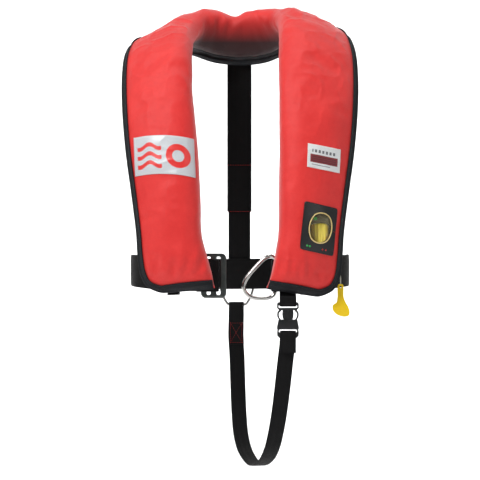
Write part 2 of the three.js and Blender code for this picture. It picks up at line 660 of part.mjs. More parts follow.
const RING = { top: -BELT_DROP - 8, y: BELT_BACK + WEBBING / 2 + GAP + WEBBING + GAP + CROTCH_WIRE / 2 + 1.2 };
const ringLoop = CROTCH_WIRE / 2 + GAP + WEBBING / 2;
const STRAP_X = -1;
const JOIN = { high: -203, low: -281 };
function addBackStrap() {
  const y = (z) => THREE.MathUtils.mapLinear(z, -44, -350, 103, RING.y - ringLoop);
  const line = (high, low, shift) => smooth(
    [0, 0.33, 0.67, 1].map((s) => {
      const z = THREE.MathUtils.lerp(high, low, s);
      return V(STRAP_X, y(z) + shift, z);
    }),
    6,
  );
  const upper = sweep(line(-43, JOIN.low, 0), rectangle(BACK_STRAP_WIDTH + 2, WEBBING), V(1, 0, 0));
  add("back_strap_upper", upper, BLACK, CLOTHLIKE);
  const turnRoute = [];
  for (let i = 0; i <= 6; i++) {
    const turn = (i / 6) * Math.PI;
    turnRoute.push(V(STRAP_X, RING.y - ringLoop * Math.cos(turn), RING.top - ringLoop * Math.sin(turn)));
  }
  turnRoute.push(V(STRAP_X, RING.y + ringLoop, RING.top + 34));
  const lowerRun = [
    V(STRAP_X, y(JOIN.high) + WEBBING + GAP, JOIN.high),
    V(STRAP_X, y(JOIN.low) + WEBBING + GAP, JOIN.low),
    V(STRAP_X, y(-330) + 0.8, -330),
    V(STRAP_X, RING.y - ringLoop, -352),
    V(STRAP_X, RING.y - ringLoop, RING.top + 12),
  ];
  const lower = sweep([...lowerRun, ...turnRoute], rectangle(BACK_STRAP_WIDTH - 2, WEBBING), V(1, 0, 0));
  add("back_strap_lower", lower, BLACK, CLOTHLIKE);
}

// ---- Metal hardware ----
function addBuckle() {
  const { width, height, bar, rail, plate: thick, x } = BUCKLE;
  const slot = (width - 3 * bar) / 2;
  const slots = [-1, 1].map((side) => rounded(x + side * (bar + slot) / 2, buckleZ, slot, height - 2 * rail, 2, 2));
  const frame = plate(rounded(x, buckleZ, width, height, 8, 4), slots, thick, 0.8);
  frame.translate(0, -BELT_FRONT - buckleRadius, 0);
  add("belt_buckle", frame, 0x6b6c6e, METAL);
}

// The tether ring: a straight bar, and a bow that sags to its lower end, as [dx, share of the belt's half width].
const BOW = [
  [-5, 1.224], [-14, 1.12], [-29, 0.56], [-41.5, -0.04], [-48, -0.54], [-46.5, -0.96], [-38, -1.3], [-24, -1.42],
  [-7, -1.352],
];
const BAR_PLACES = [1.06, 0.52, 0, -0.52, -1.14];
function addTetherRing() {
  const y = -BELT_FRONT - tetherRadius;
  const half = BELT_WIDTH / 2;
  const bar = BAR_PLACES.map((share) => V(TETHER_BAR_X, y, tetherZ + share * half));
  const bow = BOW.map(([dx, share]) => V(TETHER_BAR_X + dx, y, tetherZ + share * half)).reverse();
  const route = smooth([...bar, ...bow], 44, true);
  add("tether_ring", sweep(route, circle(TETHER_ROD / 2, 8), V(0, 1, 0), true), STEEL, METAL);
}

// The crotch ring hangs in the back strap's fold: a straight upper bar, sides that close in, a shorter lower bar.
const RING_HALF = [
  [22, 0], [26.3, -3.5], [27, -14], [25.5, -25], [22.3, -34], [18.3, -RING_BAR_DROP + 4.5], [14, -RING_BAR_DROP],
];
function addCrotchRing() {
  const mirrored = RING_HALF.map(([dx, dz]) => [-dx, dz]).reverse();
  const outline = [[0, 0], ...RING_HALF, [0, -RING_BAR_DROP], ...mirrored];
  const route = smooth(outline.map(([dx, dz]) => V(RING_X + dx, RING.y, RING.top + dz)), 40, true);
  add("crotch_ring", sweep(route, circle(CROTCH_WIRE / 2, 8), V(0, 1, 0), true), STEEL, METAL);
}

// ---- Crotch strap ----
// Heights below the clip's top: slot, root of the arms, mouth of the housing, its shoulder, its slot and its end.
const STEPS = {
  slotTop: 4.8, slotEnd: 8.7, root: 12.5, mouth: 26.8, shoulder: 41, slot2: 42.4, slot2End: 46.8, end: 55.4,
};
// Its route, from the ring at the back, hanging down between the legs and up to the clip at the front.
const ringBarZ = RING.top - RING_BAR_DROP;
const strapLoop = CROTCH_WIRE / 2 + GAP + CROTCH_WEBBING / 2;
const clipLoop = CLIP.bar / 2 + 1.1 + CROTCH_WEBBING / 2;
const REAR_ROUTE = [
  [-6.4, RING.y + 1, -457], [-7, RING.y - 2, -485], [-5, 114, -520], [-3.3, 98, -572],
  [-1.4, 76, -614], [1.8, 52, -646], [9, 25, -670], [25.5, -17, -688],
];
const FRONT_ROUTE = [
  [25.5, -17, -688], [41, -60, -677], [50.5, -90, -655], [56, -109, -630], [61, -124, -599],
  [66, -134, -558], [71, CLIP.y + clipLoop, -512], [CLIP.x - 0.8, CLIP.y + clipLoop, -492],
];
const yaw = (s) => V(Math.cos(s), Math.sin(s), 0);
function addCrotchStrap() {
  const section = rectangle(CROTCH_WIDTH, CROTCH_WEBBING);
  const points = (list) => list.map(([x, y, z]) => V(x, y, z));
  const all = new THREE.CatmullRomCurve3([...points(REAR_ROUTE), ...points(FRONT_ROUTE).slice(1)]);
  const split = (REAR_ROUTE.length - 1) / (REAR_ROUTE.length + FRONT_ROUTE.length - 2);
  const run = (from, to, steps) => Array.from({ length: steps + 1 }, (_, i) => all.getPoint(from + (i / steps) * (to - from)));
  const over = (x, y, z, deep, high) =>
    Array.from({ length: 7 }, (_, i) => {
      const turn = (i / 6) * Math.PI;
      return V(x, y - deep * Math.cos(turn), z + high * Math.sin(turn));
    });
  const rear = [
    V(-6.2, RING.y - strapLoop, ringBarZ - 30),
    ...over(-6, RING.y, ringBarZ, strapLoop, strapLoop),
    V(-6.2, RING.y + strapLoop, ringBarZ - 9),
    ...run(0, split - 0.0006, 20),
  ];
  add("crotch_strap_rear", sweep(rear, section, (s) => yaw(0.3 * s * s)), BLACK, CLOTHLIKE);
  const foldTop = CLIP.top - STEPS.slot2End + 3 * GAP + CROTCH_WEBBING / 2;
  const front = [
    ...run(split + 0.0006, 1, 20),
    ...over(CLIP.x, CLIP.y, foldTop - 3, -clipLoop, 3),
    V(CLIP.x, CLIP.y - clipLoop, foldTop - 34),
  ];
  add("crotch_strap_front", sweep(front, section, (s) => yaw(0.3 * (1 - s) * (1 - s))), BLACK, CLOTHLIKE);
}

// ---- Side-release clip ----
function addClip() {
  const { x, y, top, width, depth, tongue } = CLIP;
  const at = (drop) => top - drop;
  const half = width / 2;
  const base = [[-half + 2, at(0)], [half - 2, at(0)], [half, at(2.5)], [half, at(9)], [half - 3.4, at(STEPS.root)],
    [-half + 3.4, at(STEPS.root)], [-half, at(9)], [-half, at(2.5)]];
  const slot = rounded(0, at((STEPS.slotTop + STEPS.slotEnd) / 2), width - 5, STEPS.slotEnd - STEPS.slotTop, 1.5, 2);
  const head = plate(base, [slot], 6.4, 0.6);
  const blade = plate(
    [[-tongue / 2 + 0.8, at(STEPS.root - 1)], [tongue / 2 - 0.8, at(STEPS.root - 1)], [tongue / 2, at(18)],
      [tongue / 2 - 0.8, at(STEPS.mouth - 2)], [5.5, at(STEPS.mouth + 2)], [4.6, at(STEPS.mouth + 11)],
      [-4.6, at(STEPS.mouth + 11)], [-5.5, at(STEPS.mouth + 2)], [-tongue / 2 + 0.8, at(STEPS.mouth - 2)],
      [-tongue / 2, at(18)]],
    [],
    4.4,
  );
  add("clip_plug", joined(head, blade).translate(x, y, 0), BLACK, PLASTIC);
  for (const [side, sign] of [["left", -1], ["right", 1]]) {
    const outline = [
      [10.2, STEPS.root + 0.5], [13.2, STEPS.root + 0.5], [15, 16], [15.5, 20], [14.6, 23.3], [12.2, 26.2], [11.9, 37],
      [9.4, 37.6], [9, 34], [10.2, 27.5], [12.6, 23.6], [13.8, 20], [13.2, 16.6], [11, 14.6],
    ].map(([dx, drop]) => [sign * dx, at(drop)]);
    add(`clip_arm_${side}`, plate(sign > 0 ? outline.reverse() : outline, [], 6).translate(x, y, 0), BLACK, PLASTIC);
  }
  const shell = [
    [-14.6, at(STEPS.mouth)], [14.6, at(STEPS.mouth)], [17.2, at(STEPS.shoulder - 1.5)], [17.2, at(STEPS.shoulder)],
    [16.4, at(STEPS.slot2)], [17, at(48)], [16.6, at(52)], [13.6, at(STEPS.end)], [-13.6, at(STEPS.end)],
    [-16.6, at(52)], [-17, at(48)], [-16.4, at(STEPS.slot2)], [-17.2, at(STEPS.shoulder)], [-17.2, at(STEPS.shoulder - 1.5)],
  ];
  const low = rounded(0, at((STEPS.slot2 + STEPS.slot2End) / 2), width - 6, STEPS.slot2End - STEPS.slot2, 1.5, 2);
  const housing = plate(shell, [low], depth, 1);
  const pocket = new THREE.BoxGeometry(25.4, 7.2, 16).translate(0, 0, at(STEPS.mouth + 12.5 - 8));
  const thinning = [1, -1].map((sign) =>
    new THREE.BoxGeometry(40, 4, 9).translate(0, sign * (CLIP.bar / 2 + 2), at(STEPS.slot2End + 4.5)),
  );
  add("clip_socket", cut(housing, pocket, ...thinning).translate(x, y, 0), BLACK, PLASTIC);
  const foldRadius = 3.2 + GAP + WEBBING / 2;
  const under = Array.from({ length: 7 }, (_, i) => {
    const turn = (i / 6) * Math.PI;
    return V(x, y + foldRadius * Math.cos(turn), at(5) - 1.3 * Math.sin(turn));
  });
  const behind = -BELT_FRONT - 2 * tetherRadius - WEBBING / 2 - TAB_CLEAR;
  const route = [V(x, behind, -388), V(x, behind - 3, -404), V(x, y + foldRadius - 1, -415), ...under, V(x, y - foldRadius, -415)];
  add("crotch_tab", sweep(route, rectangle(CROTCH_WIDTH + 1, 1.4), V(1, 0, 0)), BLACK, CLOTHLIKE);
}

// ---- Pull cord and tab ----
const CORD_ROUTE = [
  [150, -130.6, -286], [150, -130.4, -300], [148.6, -130, -316], [146.8, -128.5, -330],
  ["inside"], ["outside"],
  [149, -111, -362], [154.5, -113.5, -376], [TAB.x, TAB.y, -388], [TAB.x, TAB.y, TAB.top + GAP],
];
function addPull() {
  const through = { inside: exitPoint(-3.5), outside: exitPoint(3) };
  const points = CORD_ROUTE.map(([x, y, z]) => through[x] ?? V(x, y, z));
  add("pull_cord", sweep(smooth(points, 26), circle(CORD_RADIUS, 8), V(0, 0, 1)), 0xe9e4d4, CLOTHLIKE);
  const { x, y, top, length, thick } = TAB;
  const outline = [
    [-3, 0], [3, 0], [4.6, -3], [4.9, -20], [8, -28], [12, -35], [14.4, -43], [12.8, -49], [7, -length], [-1, -49.6],
    [-9, -45], [-12.6, -38], [-11.8, -32.5], [-6.5, -28.5], [-4.8, -20], [-4.6, -3],
  ].map(([dx, dz]) => [x + dx, top + dz]);
  add("pull_tab", plate(outline, [], thick, 0.5).translate(0, y, 0), YELLOW, PLASTIC);
}

addBinding(addCover());
addBladder();
addClosureTapes();
addInflator();
addOralTube();
addWhistle();
addBelt();
addKeepers();
addBackStrap();
addBuckle();
addTetherRing();
addCrotchRing();
addCrotchStrap();
addClip();
addPull();
add("reflective_panel", patch(PATCHES.panel, 12, 4, 1, 0.7), SILVER, { roughness: 0.35 });
add("woven_label", patch(PATCHES.label, 5, 4, 0.7, 0.6), SILVER, CLOTHLIKE);
const framed = patch(PATCHES.window, 6, 8, 0.7, 1.2);
add("window_patch", cut(framed, ovalPost(0, -14, 14)), BLACK, PLASTIC);
add("window_lens", ovalPost(-GAP, -0.6, 0.6), 0xf0e6c0, { roughness: 0.1, transparent: true, opacity: 0.35 });

export default root;
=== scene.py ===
"""An inflatable life jacket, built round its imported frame: padded cover, edge tape, webbing, steel fittings,
side-release clip, gas inflator behind its window, and pull tab. Shapes are worked out in millimetres."""

import json
import math

import bmesh
import bpy
import numpy as np
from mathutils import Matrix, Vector

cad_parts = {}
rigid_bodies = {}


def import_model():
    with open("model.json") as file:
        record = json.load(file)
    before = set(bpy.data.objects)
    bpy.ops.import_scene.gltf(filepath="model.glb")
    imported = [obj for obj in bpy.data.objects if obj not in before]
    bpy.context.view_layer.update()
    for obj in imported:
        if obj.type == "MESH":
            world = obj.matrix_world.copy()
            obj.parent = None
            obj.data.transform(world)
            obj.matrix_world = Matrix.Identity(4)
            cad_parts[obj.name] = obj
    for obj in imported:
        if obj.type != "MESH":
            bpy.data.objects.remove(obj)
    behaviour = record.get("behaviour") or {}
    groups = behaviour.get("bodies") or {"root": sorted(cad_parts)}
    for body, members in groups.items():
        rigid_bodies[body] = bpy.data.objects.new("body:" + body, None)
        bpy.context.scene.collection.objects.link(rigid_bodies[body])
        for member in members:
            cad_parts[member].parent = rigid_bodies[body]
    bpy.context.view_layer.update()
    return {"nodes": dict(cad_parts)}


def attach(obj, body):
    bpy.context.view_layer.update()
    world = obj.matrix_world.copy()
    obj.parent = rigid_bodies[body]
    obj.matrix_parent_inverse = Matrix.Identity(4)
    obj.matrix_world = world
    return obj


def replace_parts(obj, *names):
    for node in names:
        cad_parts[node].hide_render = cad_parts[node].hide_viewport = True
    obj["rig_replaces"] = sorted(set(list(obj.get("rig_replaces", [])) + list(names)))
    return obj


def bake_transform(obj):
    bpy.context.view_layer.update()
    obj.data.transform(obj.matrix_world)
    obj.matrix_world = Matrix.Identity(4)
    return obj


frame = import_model()
scene = bpy.context.scene
MM = 0.001

# ---- Sizes, in millimetres ----
COVER_HALF_WIDTH = 185
NECK_HALF_WIDTH = 62
LOBE_DROP = 402
LOBE_PUFF = 52
COLLAR_PUFF = 42
FRONT_SHARE = 0.6
SEAM_HALF = 1.5
CLOTH = 1.2
WEBBING = 2.2
BELT = {"width": 50, "half_span": 174, "front": 107, "back": 112, "drop": 380, "rise": 4}
BUCKLE = {"x": -41.3, "width": 40, "height": 70, "bar": 9.3, "rail": 5, "plate": 4, "slack": 1.4}
TETHER = {"rod": 6.3, "x": 54}
RING = {"x": -5, "y": 119.3, "top": -388, "drop": 46, "wire": 4}
CROTCH = {"width": 25, "thick": 1.8}
CLIP = {"x": 74.4, "y": -143, "top": -424.6, "width": 33.9, "depth": 11, "tongue": 17.8}
INFLATOR = {"x": 124, "y": -136, "z": -303, "tilt": -9.5}
TAB = {"x": 157, "y": -117, "top": -397, "thick": 2.4}


# ---- Curves ----
def unit(vectors):
    """Each vector divided by its length."""
    return vectors / np.maximum(np.linalg.norm(vectors, axis=-1, keepdims=True), 1e-9)


def through(points, t, closed=False):
    """A centripetal Catmull-Rom curve through the points at each t from 0 to 1: a cubic on each span, whose end
    slopes come from the neighbouring chords, each divided by the square root of its length."""
    p = np.asarray(points, float)
    t = np.asarray(t, float)
    if closed:
        place = (t % 1) * len(p)
        low = np.floor(place).astype(int)
        q = [p[(low + shift) % len(p)] for shift in (-1, 0, 1, 2)]
    else:
        place = np.clip(t, 0, 1) * (len(p) - 1)
        low = np.minimum(np.floor(place).astype(int), len(p) - 2)
        longer = np.vstack([2 * p[0] - p[1], p, 2 * p[-1] - p[-2]])
        q = [longer[low + shift] for shift in range(4)]
    s = (place - low)[..., None]
    d = [np.sqrt(np.maximum(np.linalg.norm(q[i + 1] - q[i], axis=-1), 1e-6))[..., None] for i in range(3)]
    m1 = ((q[1] - q[0]) / d[0] - (q[2] - q[0]) / (d[0] + d[1]) + (q[2] - q[1]) / d[1]) * d[1]
    m2 = ((q[2] - q[1]) / d[1] - (q[3] - q[1]) / (d[1] + d[2]) + (q[3] - q[2]) / d[2]) * d[1]
    square, cube = s * s, s * s * s
    return (q[1] + m1 * s + (3 * q[2] - 3 * q[1] - 2 * m1 - m2) * square
            + (2 * q[1] - 2 * q[2] + m1 + m2) * cube)


def even(points, count, closed=False):
    """The same line walked in equal steps of its length."""
    p = np.vstack([points, points[:1]]) if closed else np.asarray(points, float)
    run = np.concatenate([[0], np.cumsum(np.linalg.norm(np.diff(p, axis=0), axis=1))])
    at = np.linspace(0, run[-1], count + 1 if closed else count)
    walked = np.stack([np.interp(at, run, p[:, i]) for i in range(3)], -1)
    return walked[:-1] if closed else walked


def smooth_route(points, count, closed=False):
    """A route of equal steps on the curve through the points."""
    fine = through(points, np.linspace(0, 1, 900, endpoint=not closed), closed)
    return even(fine, count, closed)


def length_of(path):
    """The length of a line of points."""
    return float(np.linalg.norm(np.diff(np.asarray(path), axis=0), axis=1).sum())


# ---- Meshes ----
def make(name, points, faces, material, uv=None):
    """A mesh from points in millimetres and arrays of faces, with faces turned outwards by the sign of the volume
    they close. uv holds one pair for each face corner, in metres."""
    points = np.asarray(points, float)
    faces = [np.asarray(f, int) for f in faces if len(f)]
    uv = None if uv is None else [np.asarray(u, float) for u in uv if len(u)]
    volume = 0
    for f in faces:
        for i in range(1, f.shape[1] - 1):
            a, b, c = points[f[:, 0]], points[f[:, i]], points[f[:, i + 1]]
            volume += np.einsum("ij,ij->", a, np.cross(b, c))
    if volume < 0:
        faces = [f[:, ::-1] for f in faces]
        uv = None if uv is None else [u[:, ::-1] for u in uv]
    corners = np.concatenate([f.ravel() for f in faces])
    counts = np.concatenate([np.full(len(f), f.shape[1]) for f in faces])
    mesh = bpy.data.meshes.new(name)
    mesh.vertices.add(len(points))
    mesh.vertices.foreach_set("co", (points * MM).astype(np.float32).ravel())
    mesh.loops.add(len(corners))
    mesh.loops.foreach_set("vertex_index", corners.astype(np.int32))
    mesh.polygons.add(len(counts))
    mesh.polygons.foreach_set("loop_start", np.concatenate([[0], np.cumsum(counts)[:-1]]).astype(np.int32))
    mesh.update(calc_edges=True)
    if uv is not None:
        layer = mesh.uv_layers.new(name="UVMap")
        layer.data.foreach_set("uv", np.concatenate([u.reshape(-1, 2) for u in uv]).astype(np.float32).ravel())
    mesh.validate()
    mesh.polygons.foreach_set("use_smooth", np.ones(len(mesh.polygons), bool))
    piece = bpy.data.objects.new(name, mesh)
    scene.collection.objects.link(piece)
    mesh.materials.append(material)
    return piece


def cells(rows, columns, start=0):
    """The quads of a grid of points, each [here, next column, both, next row]."""
    i, j = np.meshgrid(np.arange(rows - 1), np.arange(columns - 1), indexing="ij")
    a = start + i * columns + j
    return np.stack([a, a + 1, a + columns + 1, a + columns], -1).reshape(-1, 4)


def walled(name, outer, inner, material, uv, hole=None):
    """A sheet with a wall: an outer and an inner grid of points, joined round their rim and round a hole, which
    is a grid of cells left out."""
    rows, columns = outer.shape[:2]
    half = rows * columns
    kept = np.ones((rows - 1, columns - 1), bool) if hole is None else ~hole
    top = cells(rows, columns)[kept.ravel()]
    framed = np.zeros((rows + 1, columns + 1), bool)
    framed[1:-1, 1:-1] = kept
    node = np.arange(half).reshape(rows, columns)
    rims = []
    for before, after, a, b, step in (
        (framed[:-1, 1:-1], framed[1:, 1:-1], node[:, :-1], node[:, 1:], 1),
        (framed[1:-1, :-1], framed[1:-1, 1:], node[:-1, :], node[1:, :], -1),
    ):
        for edge, p, q in ((after & ~before, a, b), (before & ~after, b, a)):
            p, q = p[edge], q[edge]
            rims.append(np.stack([p, p + half, q + half, q], -1)[:, ::step])
    faces = [top, top[:, ::-1] + half, *rims]
    both = np.vstack([outer.reshape(-1, 3), inner.reshape(-1, 3)])
    twice = np.vstack([uv.reshape(-1, 2), uv.reshape(-1, 2)])
    return make(name, both, faces, material, [twice[f] for f in faces])


def swept(name, path, section, across, material, closed=False, around=None):
    """A section of points [a, b] carried along a path: each ring is the path's point plus a times the across
    direction, made square to the path, plus b times the direction square to both. uv is the length along the
    path, and around each section point, which is a itself for webbing."""
    path = np.asarray(path, float)
    section = np.asarray(section, float)
    n, m = len(path), section.shape[-2]
    if closed:
        along = np.roll(path, -1, 0) - np.roll(path, 1, 0)
    else:
        along = np.gradient(path, axis=0)
    along = unit(along)
    wide = np.broadcast_to(np.asarray(across, float), path.shape)
    wide = unit(wide - (wide * along).sum(1, keepdims=True) * along)
    deep = np.cross(along, wide)
    shaped = np.broadcast_to(section, (n, m, 2))
    rings = path[:, None] + shaped[..., :1] * wide[:, None] + shaped[..., 1:] * deep[:, None]
    points = rings.reshape(-1, 3)
    steps = np.linalg.norm(np.diff(np.vstack([path, path[:1]]), axis=0), axis=1)
    run = np.concatenate([[0], np.cumsum(steps)]) * MM
    if around is None:
        ring = np.linalg.norm(np.diff(np.vstack([section, section[:1]]), axis=0), axis=1)
        around = np.concatenate([[0], np.cumsum(ring)])
    around = np.asarray(around) * MM
    i, j = np.meshgrid(np.arange(n if closed else n - 1), np.arange(m), indexing="ij")
    i, j = i.ravel(), j.ravel()
    up, over = (i + 1) % n, (j + 1) % m
    quads = np.stack([i * m + j, i * m + over, up * m + over, up * m + j], -1)
    u = np.stack([run[i], run[i], run[i + 1], run[i + 1]], -1)
    v = np.stack([around[j], around[j + 1], around[j + 1], around[j]], -1)
    faces, uvs = [quads], [np.stack([u, v], -1)]
    if not closed:
        ends = np.vstack([path[0], path[-1]])
        points = np.vstack([points, ends])
        k = np.arange(m)
        for base, centre, turn in ((0, n * m, True), ((n - 1) * m, n * m + 1, False)):
            fan = np.stack([base + k, base + (k + 1) % m, np.full(m, centre)], -1)
            faces.append(fan[:, ::-1] if turn else fan)
            flat = np.zeros((m, 3, 2))
            flat[:, 0, 1], flat[:, 1, 1] = around[:-1], around[1:]
            flat[..., 0] = run[0] if turn else run[n - 1]
            uvs.append(flat[:, ::-1] if turn else flat)
    return make(name, points, faces, material, uvs)


def strap(width, thick, sides=13):
    """A webbing's section: flat faces whose half thickness falls to nothing at the edges by the sixth power."""
    s = np.sin(np.linspace(-1, 1, sides) * math.pi / 2)
    high = thick / 2 * np.maximum(1 - s**6, 0) ** (1 / 2.4)
    top = np.stack([s * width / 2, high], -1)
    low = np.stack([s[::-1] * width / 2, -high[::-1]], -1)
    section = np.vstack([top[1:-1], [[width / 2, 0]], low[1:-1], [[-width / 2, 0]]])[::-1]
    return section, np.concatenate([section[:, 0], section[:1, 0]])


def webbing(name, path, width, thick, across, material):
    """A length of webbing along a path."""
    section, around = strap(width, thick)
    return swept(name, path, section, across, material, around=around)


def round_section(radius, sides=20):
    """A circle of points."""
    turn = np.arange(sides) / sides * 2 * math.pi
    return np.stack([radius * np.cos(turn), radius * np.sin(turn)], -1)


def turned(name, profile, material, sides=48, place=(0, 0, 0), tilt=0.0, ribs=None):
    """A profile of [radius, height] points turned round the z axis, closed at its ends on the axis, with an
    optional change of radius by angle and height, then tilted about x and moved into place."""
    profile = np.asarray(profile, float)
    turn = np.arange(sides) / sides * 2 * math.pi
    radius = np.repeat(profile[:, :1], sides, 1)
    if ribs is not None:
        radius = radius + ribs(turn[None, :], profile[:, 1:2]) * (radius > 0.1)
    points = np.stack([radius * np.cos(turn), radius * np.sin(turn), np.repeat(profile[:, 1:], sides, 1)], -1)
    c, s = math.cos(tilt), math.sin(tilt)
    points = points @ np.array([[1, 0, 0], [0, c, s], [0, -s, c]]) + np.array(place)
    rows = len(profile)
    i, j = np.meshgrid(np.arange(rows - 1), np.arange(sides), indexing="ij")
    i, j = i.ravel(), j.ravel()
    quads = np.stack([i * sides + j, i * sides + (j + 1) % sides, (i + 1) * sides + (j + 1) % sides,
                      (i + 1) * sides + j], -1)
    piece = make(name, points.reshape(-1, 3), [quads], material)
    weld(piece)
    return piece


def weld(piece, distance=1e-6):
    """Merges doubled points, such as a pole's."""
    mesh = bmesh.new()
    mesh.from_mesh(piece.data)
    bmesh.ops.remove_doubles(mesh, verts=mesh.verts, dist=distance)
    bmesh.ops.dissolve_degenerate(mesh, edges=mesh.edges, dist=distance)
    bmesh.ops.recalc_face_normals(mesh, faces=mesh.faces)
    mesh.to_mesh(piece.data)
    mesh.free()
    piece.data.update()


def plate(name, outline, holes, depth, bevel, material, y=0.0, segments=4):
    """A flat outline in x and z with holes, given a depth along y about a plane, with rounded edges."""
    curve = bpy.data.curves.new(name, "CURVE")
    curve.dimensions = "2D"
    curve.fill_mode = "BOTH"
    curve.extrude = (depth / 2 - bevel) * MM
    curve.bevel_depth = bevel * MM
    curve.bevel_resolution = segments
    curve.offset = -bevel * MM
    for loop in (outline, *holes):
        loop = np.asarray(loop, float)
        spline = curve.splines.new("POLY")
        spline.points.add(len(loop) - 1)
        flat = np.zeros((len(loop), 4))
        flat[:, :2] = loop * MM
        flat[:, 3] = 1
        spline.points.foreach_set("co", flat.astype(np.float32).ravel())
        spline.use_cyclic_u = True
    made = bpy.data.objects.new(name + "_outline", curve)
    scene.collection.objects.link(made)
    mesh = bpy.data.meshes.new_from_object(made)
    bpy.data.objects.remove(made)
    points = np.empty(len(mesh.vertices) * 3, np.float32)
    mesh.vertices.foreach_get("co", points)
    points = points.reshape(-1, 3)
    stood = np.stack([points[:, 0], y * MM - points[:, 2], points[:, 1]], -1)
    mesh.vertices.foreach_set("co", stood.ravel())
    mesh.materials.clear()
    mesh.materials.append(material)
    piece = bpy.data.objects.new(name, mesh)
    scene.collection.objects.link(piece)
    weld(piece)
    mesh.polygons.foreach_set("use_smooth", np.ones(len(mesh.polygons), bool))
    mesh.set_sharp_from_angle(angle=math.radians(32))
    return piece


def rounded(cx, cz, wide, high, radius, steps=8):
    """A rectangle with round corners, as an outline."""
    outline = []
    for corner, (sx, sz) in enumerate(((1, 1), (-1, 1), (-1, -1), (1, -1))):
        turn = (corner + np.arange(steps + 1) / steps) * math.pi / 2
        outline.append(np.stack([cx + sx * (wide / 2 - radius) + radius * np.cos(turn),
                                 cz + sz * (high / 2 - radius) + radius * np.sin(turn)], -1))
    return np.vstack(outline)


def soft_outline(points, count):
    """A closed outline smoothed through chosen points."""
    flat = np.column_stack([points, np.zeros(len(points))])
    return smooth_route(flat, count, closed=True)[:, :2]


def stitched(name, path, up, pitch, length, radius, material, slant=0.0):
    """Thread stitches: at each pitch along the path a short rod of six sides, thick in the middle and closed to a
    point at each end, half sunk in the cloth. A slant turns each one in the cloth's plane, as in a bartack."""
    path = np.asarray(path, float)
    count = max(int(length_of(path) / pitch), 1)
    place = even(path, count)
    raised = even(np.asarray(path) + np.broadcast_to(up, path.shape), count) - place
    along = unit(np.gradient(place, axis=0))
    normal = unit(raised - (raised * along).sum(1, keepdims=True) * along)
    side = np.cross(along, normal)
    sign = np.where(np.arange(count) % 2, 1, -1)[:, None] if slant else 1
    direction = unit(along + side * slant * sign)
    beside = np.cross(direction, normal)
    ring = round_section(1, 6)
    points = [place - direction * length / 2]
    for s, thick in ((-0.6, 0.75), (0.0, 1.0), (0.6, 0.75)):
        for a, b in ring:
            off = (beside * a + normal * (b + 0.25)) * radius * thick
            points.append(place + direction * s * length / 2 + off)
    points.append(place + direction * length / 2)
    stacked = np.stack(points, 1)
    per = stacked.shape[1]
    k = np.arange(6)
    first = np.stack([np.zeros(6, int), 1 + (k + 1) % 6, 1 + k], -1)
    last = np.stack([np.full(6, per - 1), 13 + k, 13 + (k + 1) % 6], -1)
    sides = np.vstack([np.stack([r + k, r + (k + 1) % 6, r + 6 + (k + 1) % 6, r + 6 + k], -1) for r in (1, 7)])
    shift = (np.arange(count) * per)[:, None, None]
    return make(name, stacked.reshape(-1, 3),
                [(np.vstack([first, last])[None] + shift).reshape(-1, 3), (sides[None] + shift).reshape(-1, 4)],
                material)


def joined(name, pieces):
    """Several pieces made one."""
    with bpy.context.temp_override(active_object=pieces[0], selected_editable_objects=pieces):
        bpy.ops.object.join()
    pieces[0].name = name
    return pieces[0]


# ---- Noise ----
LATTICE = np.random.default_rng(11).random((32, 32, 32))


def noise(p):
    """Smooth value noise from 0 to 1: the eight lattice values round a point, mixed by the smootherstep of each
    coordinate's fraction."""
    low = np.floor(p).astype(int)
    f = p - low
    f = f * f * f * (f * (f * 6 - 15) + 10)
    total = 0
    for corner in range(8):
        o = np.array([corner >> 2 & 1, corner >> 1 & 1, corner & 1])
        at = (low + o) % 32
        total = total + np.prod(np.where(o, f, 1 - f), -1) * LATTICE[at[..., 0], at[..., 1], at[..., 2]]
    return total


# ---- The cover's band ----
# Stations from the nape over the shoulder to a lobe's bottom: inner fold and outer seam as [share of half width,
# y, z or share of the drop], and the share of the puff.
COLLAR = [
    ([0, 70, 35], [0, 100, -38]), ([0.48, 66, 37], [0.227, 98, -34]), ([0.84, 48, 37], [0.443, 89, -17]),
    ([0.98, 20, 31], [0.66, 69, -1]), ([1.015, -12, 16], [0.827, 41, 4]), ([1.015, -48, -9], [0.93, 8, -2]),
]
LOBE = [
    ([1.0, -82, 0.12], [0.984, -30, 0.07], 0.86), ([1.0, -104, 0.235], [1.0, -62, 0.18], 0.92),
    ([1.0, -120, 0.36], [0.99, -90, 0.31], 0.97), ([1.0, -131, 0.498], [0.957, -108, 0.473], 1),
    ([0.985, -138, 0.647], [0.908, -118, 0.634], 1), ([0.968, -142, 0.79], [0.865, -124, 0.79], 1),
    ([0.887, -143, 0.875], [0.852, -126, 0.88], 0.9), ([0.79, -143, 0.945], [0.828, -128, 0.965], 0.7),
    ([0.71, -143, 0.985], [0.776, -129, 1.008], 0.42), ([0.66, -143, 1.0], [0.66, -130, 1.032], 0),
]
LEFT_EASE = {3: -6, 4: -11, 5: -13, 6: -14, 7: -13, 8: -8, 9: -3, 10: -1, 12: 3, 13: 5, 14: 3, 15: 2}
LEFT_DROOP = {2: 4, 3: 13, 4: 18, 5: 14, 6: 7, 7: 2}
LEFT_CORNER_LIFT = 6
STATIONS = len(COLLAR) + len(LOBE) - 1


